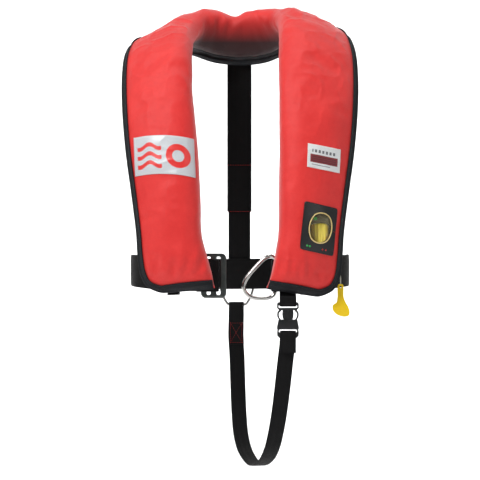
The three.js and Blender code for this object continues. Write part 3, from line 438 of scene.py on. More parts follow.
def band_edges():
    """The inner fold's and the outer seam's points from the left bottom to the right bottom, and the puff."""
    scale = lambda point, half, drop: np.array([point[0] * half, point[1],
                                                -point[2] * drop if drop else point[2]])
    inner = [scale(i, NECK_HALF_WIDTH, 0) for i, _ in COLLAR]
    inner += [scale(i, NECK_HALF_WIDTH, LOBE_DROP) for i, _, _ in LOBE]
    outer = [scale(o, COVER_HALF_WIDTH, 0) for _, o in COLLAR]
    outer += [scale(o, COVER_HALF_WIDTH, LOBE_DROP) for _, o, _ in LOBE]
    puff = [COLLAR_PUFF] * len(COLLAR) + [p * LOBE_PUFF for _, _, p in LOBE]
    flip = np.array([-1, 1, 1])
    left_in = [p * flip + [LEFT_EASE.get(k, 0), 0, -0.8 * LEFT_DROOP.get(k, 0)] for k, p in enumerate(inner)]
    left_out = [p * flip + [0, 0, LEFT_CORNER_LIFT if k > STATIONS - 3 else -LEFT_DROOP.get(k, 0)]
                for k, p in enumerate(outer)]
    return np.array(left_in[:0:-1] + inner), np.array(left_out[:0:-1] + outer), np.array(puff)


INNER, OUTER, PUFF = band_edges()


def middle(k, v):
    """The band's middle surface: a straight line from the inner fold's curve to the outer seam's at each k."""
    t = np.clip((np.asarray(k, float) / STATIONS + 1) / 2, 0, 1)
    v = np.asarray(v, float)[..., None]
    return through(INNER, t) * (1 - v) + through(OUTER, t) * v


def outward(k, v):
    """The middle surface's normal on the side away from the wearer."""
    step = 0.02
    along = middle(np.minimum(k + step, STATIONS), v) - middle(np.maximum(k - step, -STATIONS), v)
    return unit(np.cross(along, middle(k, np.ones_like(v)) - middle(k, np.zeros_like(v))))


def puff_at(k):
    """The puff at k: straight between stations, then averaged over a short stretch that shrinks at the ends."""
    reach = np.minimum(1, (STATIONS - np.abs(k)) / 1.2)
    spread = [np.interp(np.abs(k + o * reach), np.arange(STATIONS + 1), PUFF) for o in np.linspace(-0.9, 0.9, 9)]
    return sum(spread) / len(spread)


WRAP = 0.15
NAPE_WRAP = 0.8
CROWN = 0.35
ROUNDNESS = 2.2
SEAM_FULLNESS = 0.15


def fullness(v):
    """The share of the puff across the band: a superellipse up to the crown, then a fall to the thin seam."""
    rise = np.maximum(1 - np.maximum(1 - v / CROWN, 0) ** ROUNDNESS, 0) ** (1 / ROUNDNESS)
    fall = 1 - (1 - SEAM_FULLNESS) * (np.maximum(v - CROWN, 0) / (1 - CROWN)) ** ROUNDNESS
    close = np.clip((1 - v) / 0.06, 0, 1)
    return np.where(v < CROWN, rise, fall) * close


# Folds in the cloth: a line from [x, z] to [x, z], its width, and its depth, which also sets how much its edges
# stand up.
FOLDS = [
    ([-50, 38], [-60, -12], 6, 3.2), ([-30, 40], [-38, -2], 6, 3.0), ([19, 42], [42, 0], 6, 3.0),
    ([48, 34], [72, 16], 7, 2.4), ([-8, 34], [-22, 8], 7, 2.6), ([50, 24], [46, 2], 5, 1.6),
    ([66, 42], [92, 30], 6, 1.6), ([-78, 30], [-104, 14], 8, 1.6),
    ([-54, -345], [-66, -385], 7, 2.6), ([-104, -362], [-108, -404], 6, 2.0), ([-128, -356], [-134, -398], 6, 1.6),
    ([-86, -372], [-90, -402], 5, 1.4), ([66, -352], [58, -392], 6, 2.2), ([92, -368], [90, -402], 5, 1.5),
    ([120, -376], [122, -404], 5, 1.2), ([-150, -60], [-110, -30], 9, 1.5), ([150, -64], [112, -36], 9, 1.5),
    ([-70, -80], [-96, -52], 9, 1.4), ([70, -96], [98, -66], 9, 1.4), ([-168, -128], [-140, -112], 7, 1.2),
    ([170, -132], [140, -120], 7, 1.2), ([-160, -300], [-134, -290], 7, 1.2), ([60, -250], [80, -236], 7, 1.0),
]


def wrinkles(p, k, v, face):
    """How far the cloth stands out or dips: broad dents, crossing creases that are strongest over the shoulders,
    puckers that run in from the seam and die out, and the folds, each a narrow valley between two low banks.
    Everything fades at the seam and at the lobes' bottoms."""
    broad = (noise(p / 46) - 0.5) * 3.4 + (noise(p / 23 + 7) - 0.5) * 1.6
    ridge = 1 - np.abs(2 * noise(p / np.array([30, 30, 19]) + 3.3) - 1)
    fine = 1 - np.abs(2 * noise(p / np.array([13, 13, 9]) + 5.1) - 1)
    shoulder = np.exp(-((np.abs(k) - 4.6) / 3.0) ** 2)
    crease = (ridge**5 - 0.3) * (0.7 + 1.3 * shoulder) + (fine**6 - 0.2) * (0.25 + 0.55 * shoulder)
    wave = noise(np.stack([k * 3.1, v * 1.5, face * 2.0 + 0 * v], -1) + 11) - 0.5
    pucker = wave * 3.2 * np.exp(-(((1 - v) / 0.22) ** 2)) + wave * 1.2 * np.exp(-((v / 0.12) ** 2))
    low = np.interp(np.abs(k), [0, 10, 11, 12, 13, 14, 15], [400, 124, 82, 50, 22, 6.5, 0])
    bottom = np.exp(-(((low - 24) / 30) ** 2))
    gather = (noise(np.stack([p[..., 0] / 9, p[..., 2] / 60, 0 * v], -1) + 2) - 0.5) * 3.0 * bottom
    total = broad + crease + pucker + gather
    shown = np.where(face > 0, 1, np.where(np.abs(k) < 3.6, 0.55, 0))
    for (x1, z1), (x2, z2), width, depth in FOLDS:
        a, d = np.array([x1, z1], float), np.array([x2 - x1, z2 - z1], float)
        q = p[..., [0, 2]] - a
        s = np.clip((q @ d) / (d @ d), 0, 1)
        away = np.linalg.norm(q - s[..., None] * d, axis=-1) / width
        ends = np.minimum(1, 4 * np.minimum(s + 0.1, 1.1 - s))
        bank, valley = 0.5 * np.exp(-((away - 1.5) ** 2) * 2.2), np.exp(-(away**2) * 1.6)
        total = total + depth * ends * (bank - valley) * shown
    fade = np.clip((1 - v - 0.085) / 0.08, 0, 1) * np.clip((low - 13) / 14, 0, 1)
    return total * fade * np.clip(0.35 + puff_at(k) / 60, 0, 1)


# Humps of the collar's top line: place across, width and height.
HUMPS = [(-52, 18, 10), (-31, 12, 5), (8, 10, 7), (25, 14, 11), (44, 12, 7), (60, 14, 4)]


def humps(p, k, v):
    """How far the collar's top stands up: bumps along its line that fade across the band and down the lobes."""
    x = p[..., 0]
    total = sum(height * np.exp(-(((x - at) / width) ** 2)) for at, width, height in HUMPS)
    return total * np.exp(-((v / 0.42) ** 2)) * np.clip((4.6 - np.abs(k)) / 1.6, 0, 1) * 0.8


def cover(k, v, face, lift=0.0, creased=True):
    """The cover's cloth: the middle surface plus the outward normal times half the thickness, the wrinkles and a
    lift. face is 1 away from the wearer and -1 towards the wearer."""
    k, v = np.broadcast_arrays(np.asarray(k, float), np.asarray(v, float))
    share = np.where(face > 0, FRONT_SHARE, 1 - FRONT_SHARE)
    high = SEAM_HALF + share * puff_at(k) * fullness(v)
    base, normal = middle(k, v), outward(k, v)
    flat = base + normal * (face * high)[..., None]
    if creased:
        high = high + wrinkles(flat, k, v, face)
        base = base + humps(flat, k, v)[..., None] * np.array([0, 0, 1.0])
    return base + normal * (face * (high + lift))[..., None]


def grid_normals(points):
    """Unit normals of a grid of points, from the cross product of its two differences."""
    return unit(np.cross(np.gradient(points, axis=0), np.gradient(points, axis=1)))


def locate(x, z):
    """The k and v whose front cloth lies at x and z, by Newton steps on each coordinate in turn."""
    x, z = np.broadcast_arrays(np.asarray(x, float), np.asarray(z, float))
    k = np.sign(x) * 0.65 * STATIONS
    v = np.full(x.shape, 0.5)
    step = 0.01
    for _ in range(30):
        here = cover(k, v, 1, creased=False)
        fall = (cover(k + step, v, 1, creased=False)[..., 2] - here[..., 2]) / step
        reach = (cover(k, v + step, 1, creased=False)[..., 0] - here[..., 0]) / step
        k = k + np.clip((z - here[..., 2]) / fall, -0.5, 0.5)
        v = np.clip(v + (x - here[..., 0]) / reach, 0.01, 0.97)
    return k, v


# ---- Materials ----
class Graph:
    """Adds nodes to one node tree, and links what it is given that is a socket."""

    def __init__(self, tree):
        self.tree = tree

    def add(self, kind, *inputs, **settings):
        """A new node, with its settings made and its inputs filled in order."""
        node = self.tree.nodes.new(kind)
        for key, value in settings.items():
            setattr(node, key, value)
        for i, value in enumerate(inputs):
            self.put(node.inputs[i], value)
        return node

    def put(self, socket, value):
        """Links a socket to an input, or sets a plain value on it."""
        if isinstance(value, bpy.types.NodeSocket):
            self.tree.links.new(value, socket)
        elif value is not None:
            socket.default_value = value

    def math(self, operation, a, b=None, c=None):
        """One step of arithmetic on values that vary over the surface."""
        return self.add("ShaderNodeMath", a, b, c, operation=operation).outputs[0]

    def ramp(self, value, low, high, to_low=0.0, to_high=1.0):
        """A value carried from one range to another, straight and clamped."""
        node = self.add("ShaderNodeMapRange", value, low, high, to_low, to_high)
        return node.outputs[0]

    def blend(self, amount, a, b, kind="MIX"):
        """Two colours mixed by an amount."""
        node = self.add("ShaderNodeMix", data_type="RGBA", blend_type=kind)
        self.put(node.inputs[0], amount)
        self.put(node.inputs[6], a)
        self.put(node.inputs[7], b)
        return node.outputs[2]


def effect(name, inputs, outputs, build):
    """A node group: inputs and outputs are {name: kind}, and build(graph, sockets) returns the output sockets."""
    tree = bpy.data.node_groups.new(name, "ShaderNodeTree")
    for key, (kind, value) in inputs.items():
        socket = tree.interface.new_socket(key, in_out="INPUT", socket_type=kind)
        if value is not None:
            socket.default_value = value
    for key, kind in outputs.items():
        tree.interface.new_socket(key, in_out="OUTPUT", socket_type=kind)
    graph = Graph(tree)
    entry = tree.nodes.new("NodeGroupInput")
    leave = tree.nodes.new("NodeGroupOutput")
    for socket, value in zip(leave.inputs, build(graph, list(entry.outputs))):
        graph.put(socket, value)
    return tree


FLOAT, VECTOR = "NodeSocketFloat", "NodeSocketVector"


def build_mottle(g, s):
    """Two scales of noise mixed to one value about a half."""
    vector, scale, contrast = s[:3]
    wide = g.add("ShaderNodeTexNoise", vector)
    g.put(wide.inputs["Scale"], scale)
    wide.inputs["Detail"].default_value = 5
    near = g.add("ShaderNodeTexNoise", vector)
    g.put(near.inputs["Scale"], g.math("MULTIPLY", scale, 9.0))
    near.inputs["Detail"].default_value = 3
    both = g.math("MULTIPLY_ADD", near.outputs[0], 0.35, g.math("MULTIPLY", wide.outputs[0], 0.65))
    return [g.math("MULTIPLY_ADD", g.math("SUBTRACT", both, 0.5), contrast, 0.5)]


def build_weave(g, s):
    """A plain weave: warp and weft threads are half waves across, taking turns on top by a checker."""
    vector, pitch = s[:2]
    split = g.add("ShaderNodeSeparateXYZ", vector)
    u, v = g.math("DIVIDE", split.outputs[0], pitch), g.math("DIVIDE", split.outputs[1], pitch)
    warp = g.math("ABSOLUTE", g.math("SINE", g.math("MULTIPLY", u, math.pi)))
    weft = g.math("ABSOLUTE", g.math("SINE", g.math("MULTIPLY", v, math.pi)))
    turn = g.math("PINGPONG", g.math("ADD", g.math("FLOOR", u), g.math("FLOOR", v)), 1.0)
    over = g.math("MULTIPLY", warp, g.math("MULTIPLY_ADD", turn, 0.6, 0.4))
    under = g.math("MULTIPLY", weft, g.math("MULTIPLY_ADD", turn, -0.6, 1.0))
    return [g.math("MAXIMUM", over, under)]


def build_twill(g, s):
    """A herringbone of webbing: slanting ribs whose slant turns over at each stripe along the length."""
    vector, pitch, stripe = s[:3]
    split = g.add("ShaderNodeSeparateXYZ", vector)
    fold = g.math("PINGPONG", split.outputs[1], stripe)
    phase = g.math("DIVIDE", g.math("ADD", split.outputs[0], fold), pitch)
    rib = g.math("ABSOLUTE", g.math("SINE", g.math("MULTIPLY", phase, math.pi)))
    along = g.math("DIVIDE", split.outputs[1], pitch)
    thread = g.math("ABSOLUTE", g.math("SINE", g.math("MULTIPLY", along, 8.0)))
    return [g.math("MULTIPLY_ADD", rib, 0.75, g.math("MULTIPLY", thread, 0.25))]


def build_dots(g, s):
    """Raised dots on a staggered grid: the nearer of two square grids' distances, and the line between cells."""
    vector, pitch = s[:2]
    near = []
    for shift in (0.0, 0.5):
        split = g.add("ShaderNodeSeparateXYZ", vector)
        parts = []
        for axis, stretch in ((0, 1.0), (1, 0.577)):
            size = g.math("MULTIPLY", pitch, 1 / stretch)
            place = g.math("ADD", g.math("DIVIDE", split.outputs[axis], size), shift)
            parts.append(g.math("SUBTRACT", g.math("FRACT", place), 0.5))
        long = g.math("MULTIPLY", parts[1], 1 / 0.577)
        square = g.math("ADD", g.math("MULTIPLY", parts[0], parts[0]), g.math("MULTIPLY", long, long))
        near.append(g.math("SQRT", square))
    return [g.math("MINIMUM", near[0], near[1])]


def build_scuff(g, s):
    """Thin scratches: noise stretched along one axis, kept only at its peaks."""
    vector, scale = s[:2]
    split = g.add("ShaderNodeSeparateXYZ", vector)
    long = g.add("ShaderNodeCombineXYZ", g.math("MULTIPLY", split.outputs[0], 9.0),
                 g.math("MULTIPLY", split.outputs[1], 9.0), split.outputs[2])
    noise_node = g.add("ShaderNodeTexNoise", long.outputs[0])
    g.put(noise_node.inputs["Scale"], scale)
    noise_node.inputs["Detail"].default_value = 6
    return [g.ramp(noise_node.outputs[0], 0.62, 0.72)]


MOTTLE = effect("Mottle", {"Vector": (VECTOR, None), "Scale": (FLOAT, 30), "Contrast": (FLOAT, 1)},
                {"Value": FLOAT}, build_mottle)
WEAVE = effect("Weave", {"Vector": (VECTOR, None), "Pitch": (FLOAT, 0.0008)}, {"Height": FLOAT}, build_weave)
TWILL = effect("Twill", {"Vector": (VECTOR, None), "Pitch": (FLOAT, 0.002), "Stripe": (FLOAT, 0.004)},
               {"Height": FLOAT}, build_twill)
DOTS = effect("Dots", {"Vector": (VECTOR, None), "Pitch": (FLOAT, 0.002)}, {"Distance": FLOAT}, build_dots)
SCUFF = effect("Scuff", {"Vector": (VECTOR, None), "Scale": (FLOAT, 60)}, {"Mask": FLOAT}, build_scuff)


class Finish(Graph):
    """A material: its Principled shader, object coordinates and UV, with constants set on the shader."""

    def __init__(self, name, roughness=0.5, metallic=0.0, **constants):
        self.material = bpy.data.materials.new(name)
        self.material.use_nodes = True
        super().__init__(self.material.node_tree)
        self.shader = self.tree.nodes["Principled BSDF"]
        self.set("Roughness", roughness)
        self.set("Metallic", metallic)
        for key, value in constants.items():
            self.set(key.replace("_", " "), value)
        place = self.tree.nodes.new("ShaderNodeTexCoord")
        self.here, self.uv = place.outputs["Object"], place.outputs["UV"]

    def set(self, socket, value):
        """Fills one of the shader's own sockets."""
        self.put(self.shader.inputs[socket], value)

    def use(self, tree, *inputs):
        """Places an effect in this material and returns its first output."""
        node = self.tree.nodes.new("ShaderNodeGroup")
        node.node_tree = tree
        for socket, value in zip(node.inputs, inputs):
            self.put(socket, value)
        return node.outputs[0]

    def bump(self, height, strength, distance):
        """Feeds a height to the shader's normal through a bump."""
        node = self.add("ShaderNodeBump")
        node.inputs["Strength"].default_value = strength
        node.inputs["Distance"].default_value = distance
        self.put(node.inputs["Height"], height)
        self.set("Normal", node.outputs[0])


def rgb(*values):
    """A linear colour from values of 0 to 255."""
    return tuple((v / 255) ** 2.2 for v in values) + (1.0,)


def nylon(name, dark, light, rough, pitch=0.0007, uv=True, sheen=0.25, weave=0.25, grain=0.0006, deep=None):
    """Woven cloth: two shades mixed by a mottle, roughness that follows it, and a weave with slubs in its bump. A
    deep colour, where one is given, is painted shade low down inside the collar, behind the neck."""
    f = Finish(name, Sheen_Weight=sheen, Sheen_Roughness=0.45, Specular_IOR_Level=0.35)
    mottle = f.use(MOTTLE, f.here, 22.0, 1.6)
    cloth = f.blend(mottle, dark, light)
    if deep:
        # Painted shade: the deep colour takes over low down on the collar's wearer side, behind the neck.
        split = f.add("ShaderNodeSeparateXYZ", f.here)
        low = f.ramp(split.outputs[2], -0.006, 0.040, 1.0, 0.0)
        behind = f.math("MULTIPLY", f.ramp(split.outputs[1], 0.025, 0.048),
                        f.ramp(split.outputs[1], 0.088, 0.096, 1.0, 0.0))
        cloth = f.blend(f.math("MULTIPLY", low, behind), cloth, deep)
    f.set("Base Color", cloth)
    f.set("Roughness", f.ramp(mottle, 0.2, 0.8, rough - 0.05, rough + 0.07))
    threads = f.use(WEAVE, f.uv if uv else f.here, pitch)
    slub = f.use(MOTTLE, f.here, 260.0, 1.0)
    f.bump(f.math("MULTIPLY_ADD", threads, weave, f.math("MULTIPLY", slub, 0.5)), 0.35, grain)
    return f.material


def webbing_finish(name, dark, light, pitch, stripe, rough=0.62):
    """Webbing: a herringbone in its bump and in its colour, lighter where ribs stand up, with dusty patches."""
    f = Finish(name, Sheen_Weight=0.03, Sheen_Roughness=0.5, Specular_IOR_Level=0.16)
    ribs = f.use(TWILL, f.uv, pitch, stripe)
    dust = f.use(MOTTLE, f.here, 35.0, 1.5)
    shade = f.math("MULTIPLY_ADD", dust, 0.55, f.math("MULTIPLY", ribs, 0.45))
    f.set("Base Color", f.blend(shade, dark, light))
    f.set("Roughness", f.ramp(dust, 0.2, 0.8, rough - 0.06, rough + 0.08))
    f.bump(ribs, 0.55, 0.0006)
    return f.material


def moulded(name, dark, light, rough, grain=0.00012, specular=0.5, coat=0.0):
    """Moulded plastic: a fine grain, slight shade changes and scuffs that dull it."""
    f = Finish(name, Specular_IOR_Level=specular, Coat_Weight=coat, Coat_Roughness=0.25)
    mottle = f.use(MOTTLE, f.here, 60.0, 1.2)
    scuff = f.use(SCUFF, f.here, 80.0)
    f.set("Base Color", f.blend(mottle, dark, light))
    f.set("Roughness", f.math("MULTIPLY_ADD", scuff, 0.12, f.ramp(mottle, 0.2, 0.8, rough - 0.04, rough + 0.06)))
    f.bump(f.use(MOTTLE, f.here, 900.0, 1.0), 0.3, grain)
    return f.material


def metal(name, dark, light, rough, grain=0.00005, coat=0.0):
    """Metal: a shade and roughness that wander, with fine scratches."""
    f = Finish(name, metallic=1.0, Coat_Weight=coat, Coat_Roughness=0.2)
    mottle = f.use(MOTTLE, f.here, 45.0, 1.4)
    scuff = f.use(SCUFF, f.here, 110.0)
    f.set("Base Color", f.blend(mottle, dark, light))
    f.set("Roughness", f.math("MULTIPLY_ADD", scuff, 0.14, f.ramp(mottle, 0.2, 0.8, rough - 0.04, rough + 0.07)))
    f.bump(f.use(MOTTLE, f.here, 700.0, 1.0), 0.25, grain)
    return f.material


# The deep colour given here is painted shade low down inside the collar.
RED_CLOTH = nylon("RedNylon", rgb(202, 34, 33), rgb(222, 52, 48), 0.48, sheen=0.3, weave=0.35,
                  deep=rgb(48, 4, 8))
LINING_CLOTH = nylon("LiningCloth", rgb(26, 26, 28), rgb(44, 44, 48), 0.75, pitch=0.0016, sheen=0.3, weave=0.6)
BLADDER_FILM = nylon("BladderFilm", rgb(214, 150, 20), rgb(236, 176, 40), 0.4, uv=False, sheen=0.1)
BELT_WEB = webbing_finish("BeltWebbing", rgb(2, 2, 3), rgb(15, 13, 15), 0.0022, 0.0062)
STRAP_WEB = webbing_finish("StrapWebbing", rgb(2, 2, 3), rgb(16, 15, 17), 0.0020, 0.0042)
TAPE = webbing_finish("EdgeTape", rgb(12, 13, 14), rgb(40, 42, 46), 0.0016, 0.05, 0.7)
HOOK_TAPE = webbing_finish("HookTape", rgb(20, 20, 21), rgb(52, 52, 54), 0.0012, 0.0012, 0.85)
THREAD_RED = moulded("RedThread", rgb(120, 20, 24), rgb(168, 34, 36), 0.55, specular=0.3)
THREAD_BLACK = moulded("BlackThread", rgb(22, 22, 24), rgb(62, 62, 66), 0.55, specular=0.3)
BRUSHED = metal("TetherSteel", rgb(176, 172, 168), rgb(214, 212, 208), 0.16)
RING_STEEL = metal("RingSteel", rgb(120, 118, 116), rgb(166, 164, 160), 0.22)
DARK_STEEL = metal("BuckleSteel", rgb(74, 78, 76), rgb(110, 114, 112), 0.3)
PLATED = metal("PlatedSteel", rgb(176, 178, 182), rgb(214, 216, 220), 0.3)
BRASS = metal("StemBrass", rgb(180, 150, 96), rgb(214, 184, 124), 0.32)
CYLINDER_PAINT = moulded("CylinderPaint", rgb(150, 153, 156), rgb(182, 185, 188), 0.35, coat=0.4)
CLIP_PLASTIC = moulded("ClipPlastic", rgb(14, 15, 16), rgb(32, 33, 35), 0.4)
INFLATOR_PLASTIC = moulded("InflatorPlastic", rgb(56, 54, 46), rgb(92, 86, 70), 0.5)
CAP_PLASTIC = moulded("CapPlastic", rgb(250, 222, 56), rgb(255, 236, 92), 0.35)
BOBBIN_PLASTIC = moulded("BobbinPlastic", rgb(226, 222, 210), rgb(244, 241, 232), 0.6)
GREEN = moulded("IndicatorGreen", rgb(30, 150, 60), rgb(60, 190, 90), 0.35)
RED_DOT = moulded("DotRed", rgb(200, 30, 28), rgb(230, 50, 44), 0.4)
TUBE_RUBBER = moulded("TubeRubber", rgb(24, 24, 25), rgb(46, 46, 48), 0.7)
VALVE_PLASTIC = moulded("ValvePlastic", rgb(28, 28, 30), rgb(48, 48, 50), 0.45)
WHISTLE_PLASTIC = moulded("WhistlePlastic", rgb(226, 120, 20), rgb(244, 146, 36), 0.35)
LINE = webbing_finish("Line", rgb(170, 166, 154), rgb(224, 220, 206), 0.0016, 0.0008, 0.7)
TAB_PLASTIC = moulded("TabPlastic", rgb(226, 186, 8), rgb(246, 208, 24), 0.38, coat=0.1)
WINDOW_VINYL = moulded("WindowVinyl", rgb(8, 9, 10), rgb(22, 23, 25), 0.4)
RIM_CREAM = moulded("WindowRim", rgb(206, 178, 108), rgb(232, 208, 142), 0.5)


def panel_finish():
    """Reflective film: silver grey with a grid of small cells, and a red ring and three waves printed on it."""
    f = Finish("ReflectivePanel", metallic=0.0, Specular_IOR_Level=0.6, Coat_Weight=0.3, Coat_Roughness=0.3)
    cell = f.use(DOTS, f.uv, 0.0026)
    mottle = f.use(MOTTLE, f.here, 30.0, 1.3)
    silver = f.blend(mottle, rgb(196, 200, 204), rgb(226, 229, 231))
    lined = f.blend(f.ramp(cell, 0.30, 0.44), silver, rgb(158, 163, 168))
    split = f.add("ShaderNodeSeparateXYZ", f.uv)
    u, v = split.outputs[0], split.outputs[1]
    across, up = f.math("SUBTRACT", u, 0.0215), f.math("SUBTRACT", v, -0.001)
    reach = f.math("SQRT", f.math("ADD", f.math("MULTIPLY", across, across), f.math("MULTIPLY", up, up)))
    ring = f.math("LESS_THAN", f.math("ABSOLUTE", f.math("SUBTRACT", reach, 0.0140)), 0.0048)
    marks = ring
    for level in (0.0130, -0.0010, -0.0150):
        bend = f.math("MULTIPLY", f.math("SINE", f.math("MULTIPLY", u, 210.0)), 0.0034)
        off = f.math("ABSOLUTE", f.math("SUBTRACT", f.math("SUBTRACT", v, level), bend))
        wave = f.math("MULTIPLY", f.math("LESS_THAN", off, 0.0032), f.math("LESS_THAN", u, -0.004))
        marks = f.math("MAXIMUM", marks, f.math("MULTIPLY", wave, f.math("GREATER_THAN", u, -0.041)))
    f.set("Base Color", f.blend(marks, lined, rgb(214, 44, 40)))
    f.set("Roughness", f.ramp(cell, 0.2, 0.45, 0.28, 0.5))
    f.bump(f.ramp(cell, 0.28, 0.45, 1.0, 0.0), 0.25, 0.0002)
    return f.material


def label_finish():
    """A woven label: a pale grey ground with a heading of short bars, a dark red block and thin grey lines."""
    f = Finish("WovenLabel", Sheen_Weight=0.2)
    split = f.add("ShaderNodeSeparateXYZ", f.uv)
    u, v = split.outputs[0], split.outputs[1]
    threads = f.use(WEAVE, f.uv, 0.0006)
    ground = f.blend(threads, rgb(190, 193, 194), rgb(222, 224, 224))

    def band(low, high, left, right):
        """One inside a rectangle of the label and nought outside it."""
        tall = f.math("MULTIPLY", f.math("GREATER_THAN", v, low), f.math("LESS_THAN", v, high))
        wide = f.math("MULTIPLY", f.math("GREATER_THAN", u, left), f.math("LESS_THAN", u, right))
        return f.math("MULTIPLY", tall, wide)

    bars = f.math("GREATER_THAN", f.math("FRACT", f.math("MULTIPLY", u, 175.0)), 0.42)
    colour = f.blend(f.math("MULTIPLY", band(0.0060, 0.0105, -0.019, 0.019), bars), ground, rgb(96, 98, 102))
    colour = f.blend(band(-0.0095, 0.0030, -0.0215, 0.0215), colour, rgb(120, 30, 38))
    fine = f.math("GREATER_THAN", f.math("FRACT", f.math("MULTIPLY", v, 330.0)), 0.6)
    colour = f.blend(f.math("MULTIPLY", band(-0.0085, 0.0015, -0.019, 0.019), fine), colour, rgb(64, 24, 30))
    colour = f.blend(f.math("MULTIPLY", band(-0.0150, -0.0110, -0.019, 0.010), fine), colour, rgb(130, 132, 136))
    f.set("Base Color", colour)
    f.set("Roughness", f.ramp(threads, 0.0, 1.0, 0.62, 0.5))
    f.bump(threads, 0.4, 0.0003)
    return f.material


def lens_finish():
    """Clear vinyl: nearly all light goes through, with faint cloudiness and a soft shine."""
    f = Finish("WindowVinylClear", roughness=0.12, Specular_IOR_Level=0.7, IOR=1.45)
    cloud = f.use(MOTTLE, f.here, 70.0, 1.6)
    f.set("Base Color", f.blend(cloud, rgb(226, 214, 150), rgb(246, 238, 196)))
    f.set("Alpha", f.ramp(cloud, 0.2, 0.8, 0.02, 0.08))
    return f.material


PANEL_FILM = panel_finish()
LABEL = label_finish()
LENS = lens_finish()
MATERIAL_OF = {
    "cover_cloth": RED_CLOTH, "lining_cloth": LINING_CLOTH, "edge_tape": TAPE, "bladder_film": BLADDER_FILM,
    "webbing": BELT_WEB, "hook_tape": HOOK_TAPE, "buckle_steel": DARK_STEEL, "ring_steel": RING_STEEL,
    "plated_steel": PLATED, "clip_plastic": CLIP_PLASTIC, "inflator_plastic": INFLATOR_PLASTIC,
    "cap_plastic": CAP_PLASTIC, "bobbin": BOBBIN_PLASTIC, "cylinder_paint": CYLINDER_PAINT, "stem_brass": BRASS,
    "indicator": GREEN, "tube_rubber": TUBE_RUBBER, "valve_plastic": VALVE_PLASTIC,
    "whistle_plastic": WHISTLE_PLASTIC, "line": LINE, "tab_plastic": TAB_PLASTIC, "reflective_tape": PANEL_FILM,
    "label_cloth": LABEL, "window_vinyl": WINDOW_VINYL, "lens": LENS,
}


def settle(piece, body, slot=None, *nodes):
    """A piece rides on a body and stands for CAD nodes. Its slot is not used."""
    if nodes:
        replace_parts(piece, *nodes)
    if body:
        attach(piece, body)
    return piece


# ---- Camera ----
camera_data = bpy.data.cameras.new("Camera")
camera_data.lens = 196
camera_data.sensor_width = 36
camera = bpy.data.objects.new("Camera", camera_data)
scene.collection.objects.link(camera)
camera.location = (0, -4.2, -0.328)
camera.rotation_euler = (math.pi / 2, 0, 0)
scene.camera = camera

# ---- Cords: the crotch strap's halves and the pull cord ----
ring_loop = RING["wire"] / 2 + 0.3 + CROTCH["thick"] / 2
clip_loop = 2.6 + 1.1 + CROTCH["thick"] / 2
ring_bar = RING["top"] - RING["drop"]
REAR_ROUTE = [
    [-6.4, RING["y"] + 1, -457], [-7, RING["y"] - 2, -485], [-5, 114, -520], [-3.3, 98, -572],
    [-1.4, 76, -614], [1.8, 52, -646], [9, 25, -670], [25.5, -17, -688],
]
FRONT_ROUTE = [
    [25.5, -17, -688], [41, -60, -677], [50.5, -90, -655], [56, -109, -630], [61, -124, -599],
    [66, -134, -558], [71, CLIP["y"] + clip_loop, -512], [CLIP["x"] - 0.8, CLIP["y"] + clip_loop, -492],
]


def yaw(s):
    """A level direction turned s radians from +X."""
    return np.stack([np.cos(s), np.sin(s), np.zeros_like(s)], -1)


def crotch_strap():
    """The strap's two halves. Each follows its half of one long curve, turns over its own bar and comes back
    down to where it is sewn."""
    knots = REAR_ROUTE + FRONT_ROUTE[1:]
    split = (len(REAR_ROUTE) - 1) / (len(knots) - 1)
    half_turn = np.linspace(0, math.pi, 13)
    x, y = -6.0, RING["y"]
    over = np.stack([np.full(13, x), y - ring_loop * np.cos(half_turn),
                     ring_bar + ring_loop * np.sin(half_turn)], -1)
    down = through(knots, np.linspace(0, split, 220))
    tail = [[-5.9, 112.3, -500], [-6.5, 114.3, -484], [-6.2, 116.3, -464], [x, y - ring_loop, ring_bar - 14]]
    rear = np.vstack([tail, over, [[x - 0.2, y + ring_loop, ring_bar - 9]], down])
    fold_top = CLIP["top"] - 46.8 + 1.2 + CROTCH["thick"] / 2
    x, y = CLIP["x"], CLIP["y"]
    over = np.stack([np.full(13, x), y + clip_loop * np.cos(half_turn), fold_top - 3 + 3 * np.sin(half_turn)], -1)
    front = np.vstack([through(knots, np.linspace(split, 1, 220)), over,
                       [[x, y - clip_loop, fold_top - 18], [x, y - clip_loop + 0.4, fold_top - 34]]])
    made = []
    for name, path, turn in (("rear", rear, 1), ("front", front, -1)):
        path = even(path, 300)
        s = np.linspace(0, 1, len(path)) if turn > 0 else np.linspace(1, 0, len(path))
        half = webbing(f"CrotchStrap_{name}", path, CROTCH["width"], CROTCH["thick"], yaw(0.3 * s * s), STRAP_WEB)
        made.append((half, path))
    return made


(strap_rear, rear_path), (strap_front, front_path) = crotch_strap()
settle(strap_rear, None, "webbing", "crotch_strap_rear")
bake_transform(strap_rear)
settle(strap_front, None, "webbing", "crotch_strap_front")
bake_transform(strap_front)


def pull_line():
    """The pull cord, out of the inflator, down through the lining's eyelet and on to the tab's neck."""
    inside, outside = (cover(12.05, 0.86, -1, lift, creased=False) for lift in (-3.5, 3))
    knots = [[150, -130.6, -286], [150, -130.4, -300], [148.6, -130, -316], [146.8, -128.5, -330],
             inside, outside, [149, -111, -362], [154.5, -113.5, -376], [TAB["x"], TAB["y"], -388],
             [TAB["x"], TAB["y"], TAB["top"] + 0.4]]
    path = smooth_route([list(k) for k in knots], 110)
    turn = np.arange(24) / 24 * 2 * math.pi
    radius = 0.93 + 0.07 * np.cos(6 * turn)
    section = np.stack([radius * np.cos(turn), radius * np.sin(turn)], -1)
    return swept("PullCord", path, section, (0, 1, 0), LINE), path


pull_cord, cord_path = pull_line()
settle(pull_cord, "pull_line", "line", "pull_cord")


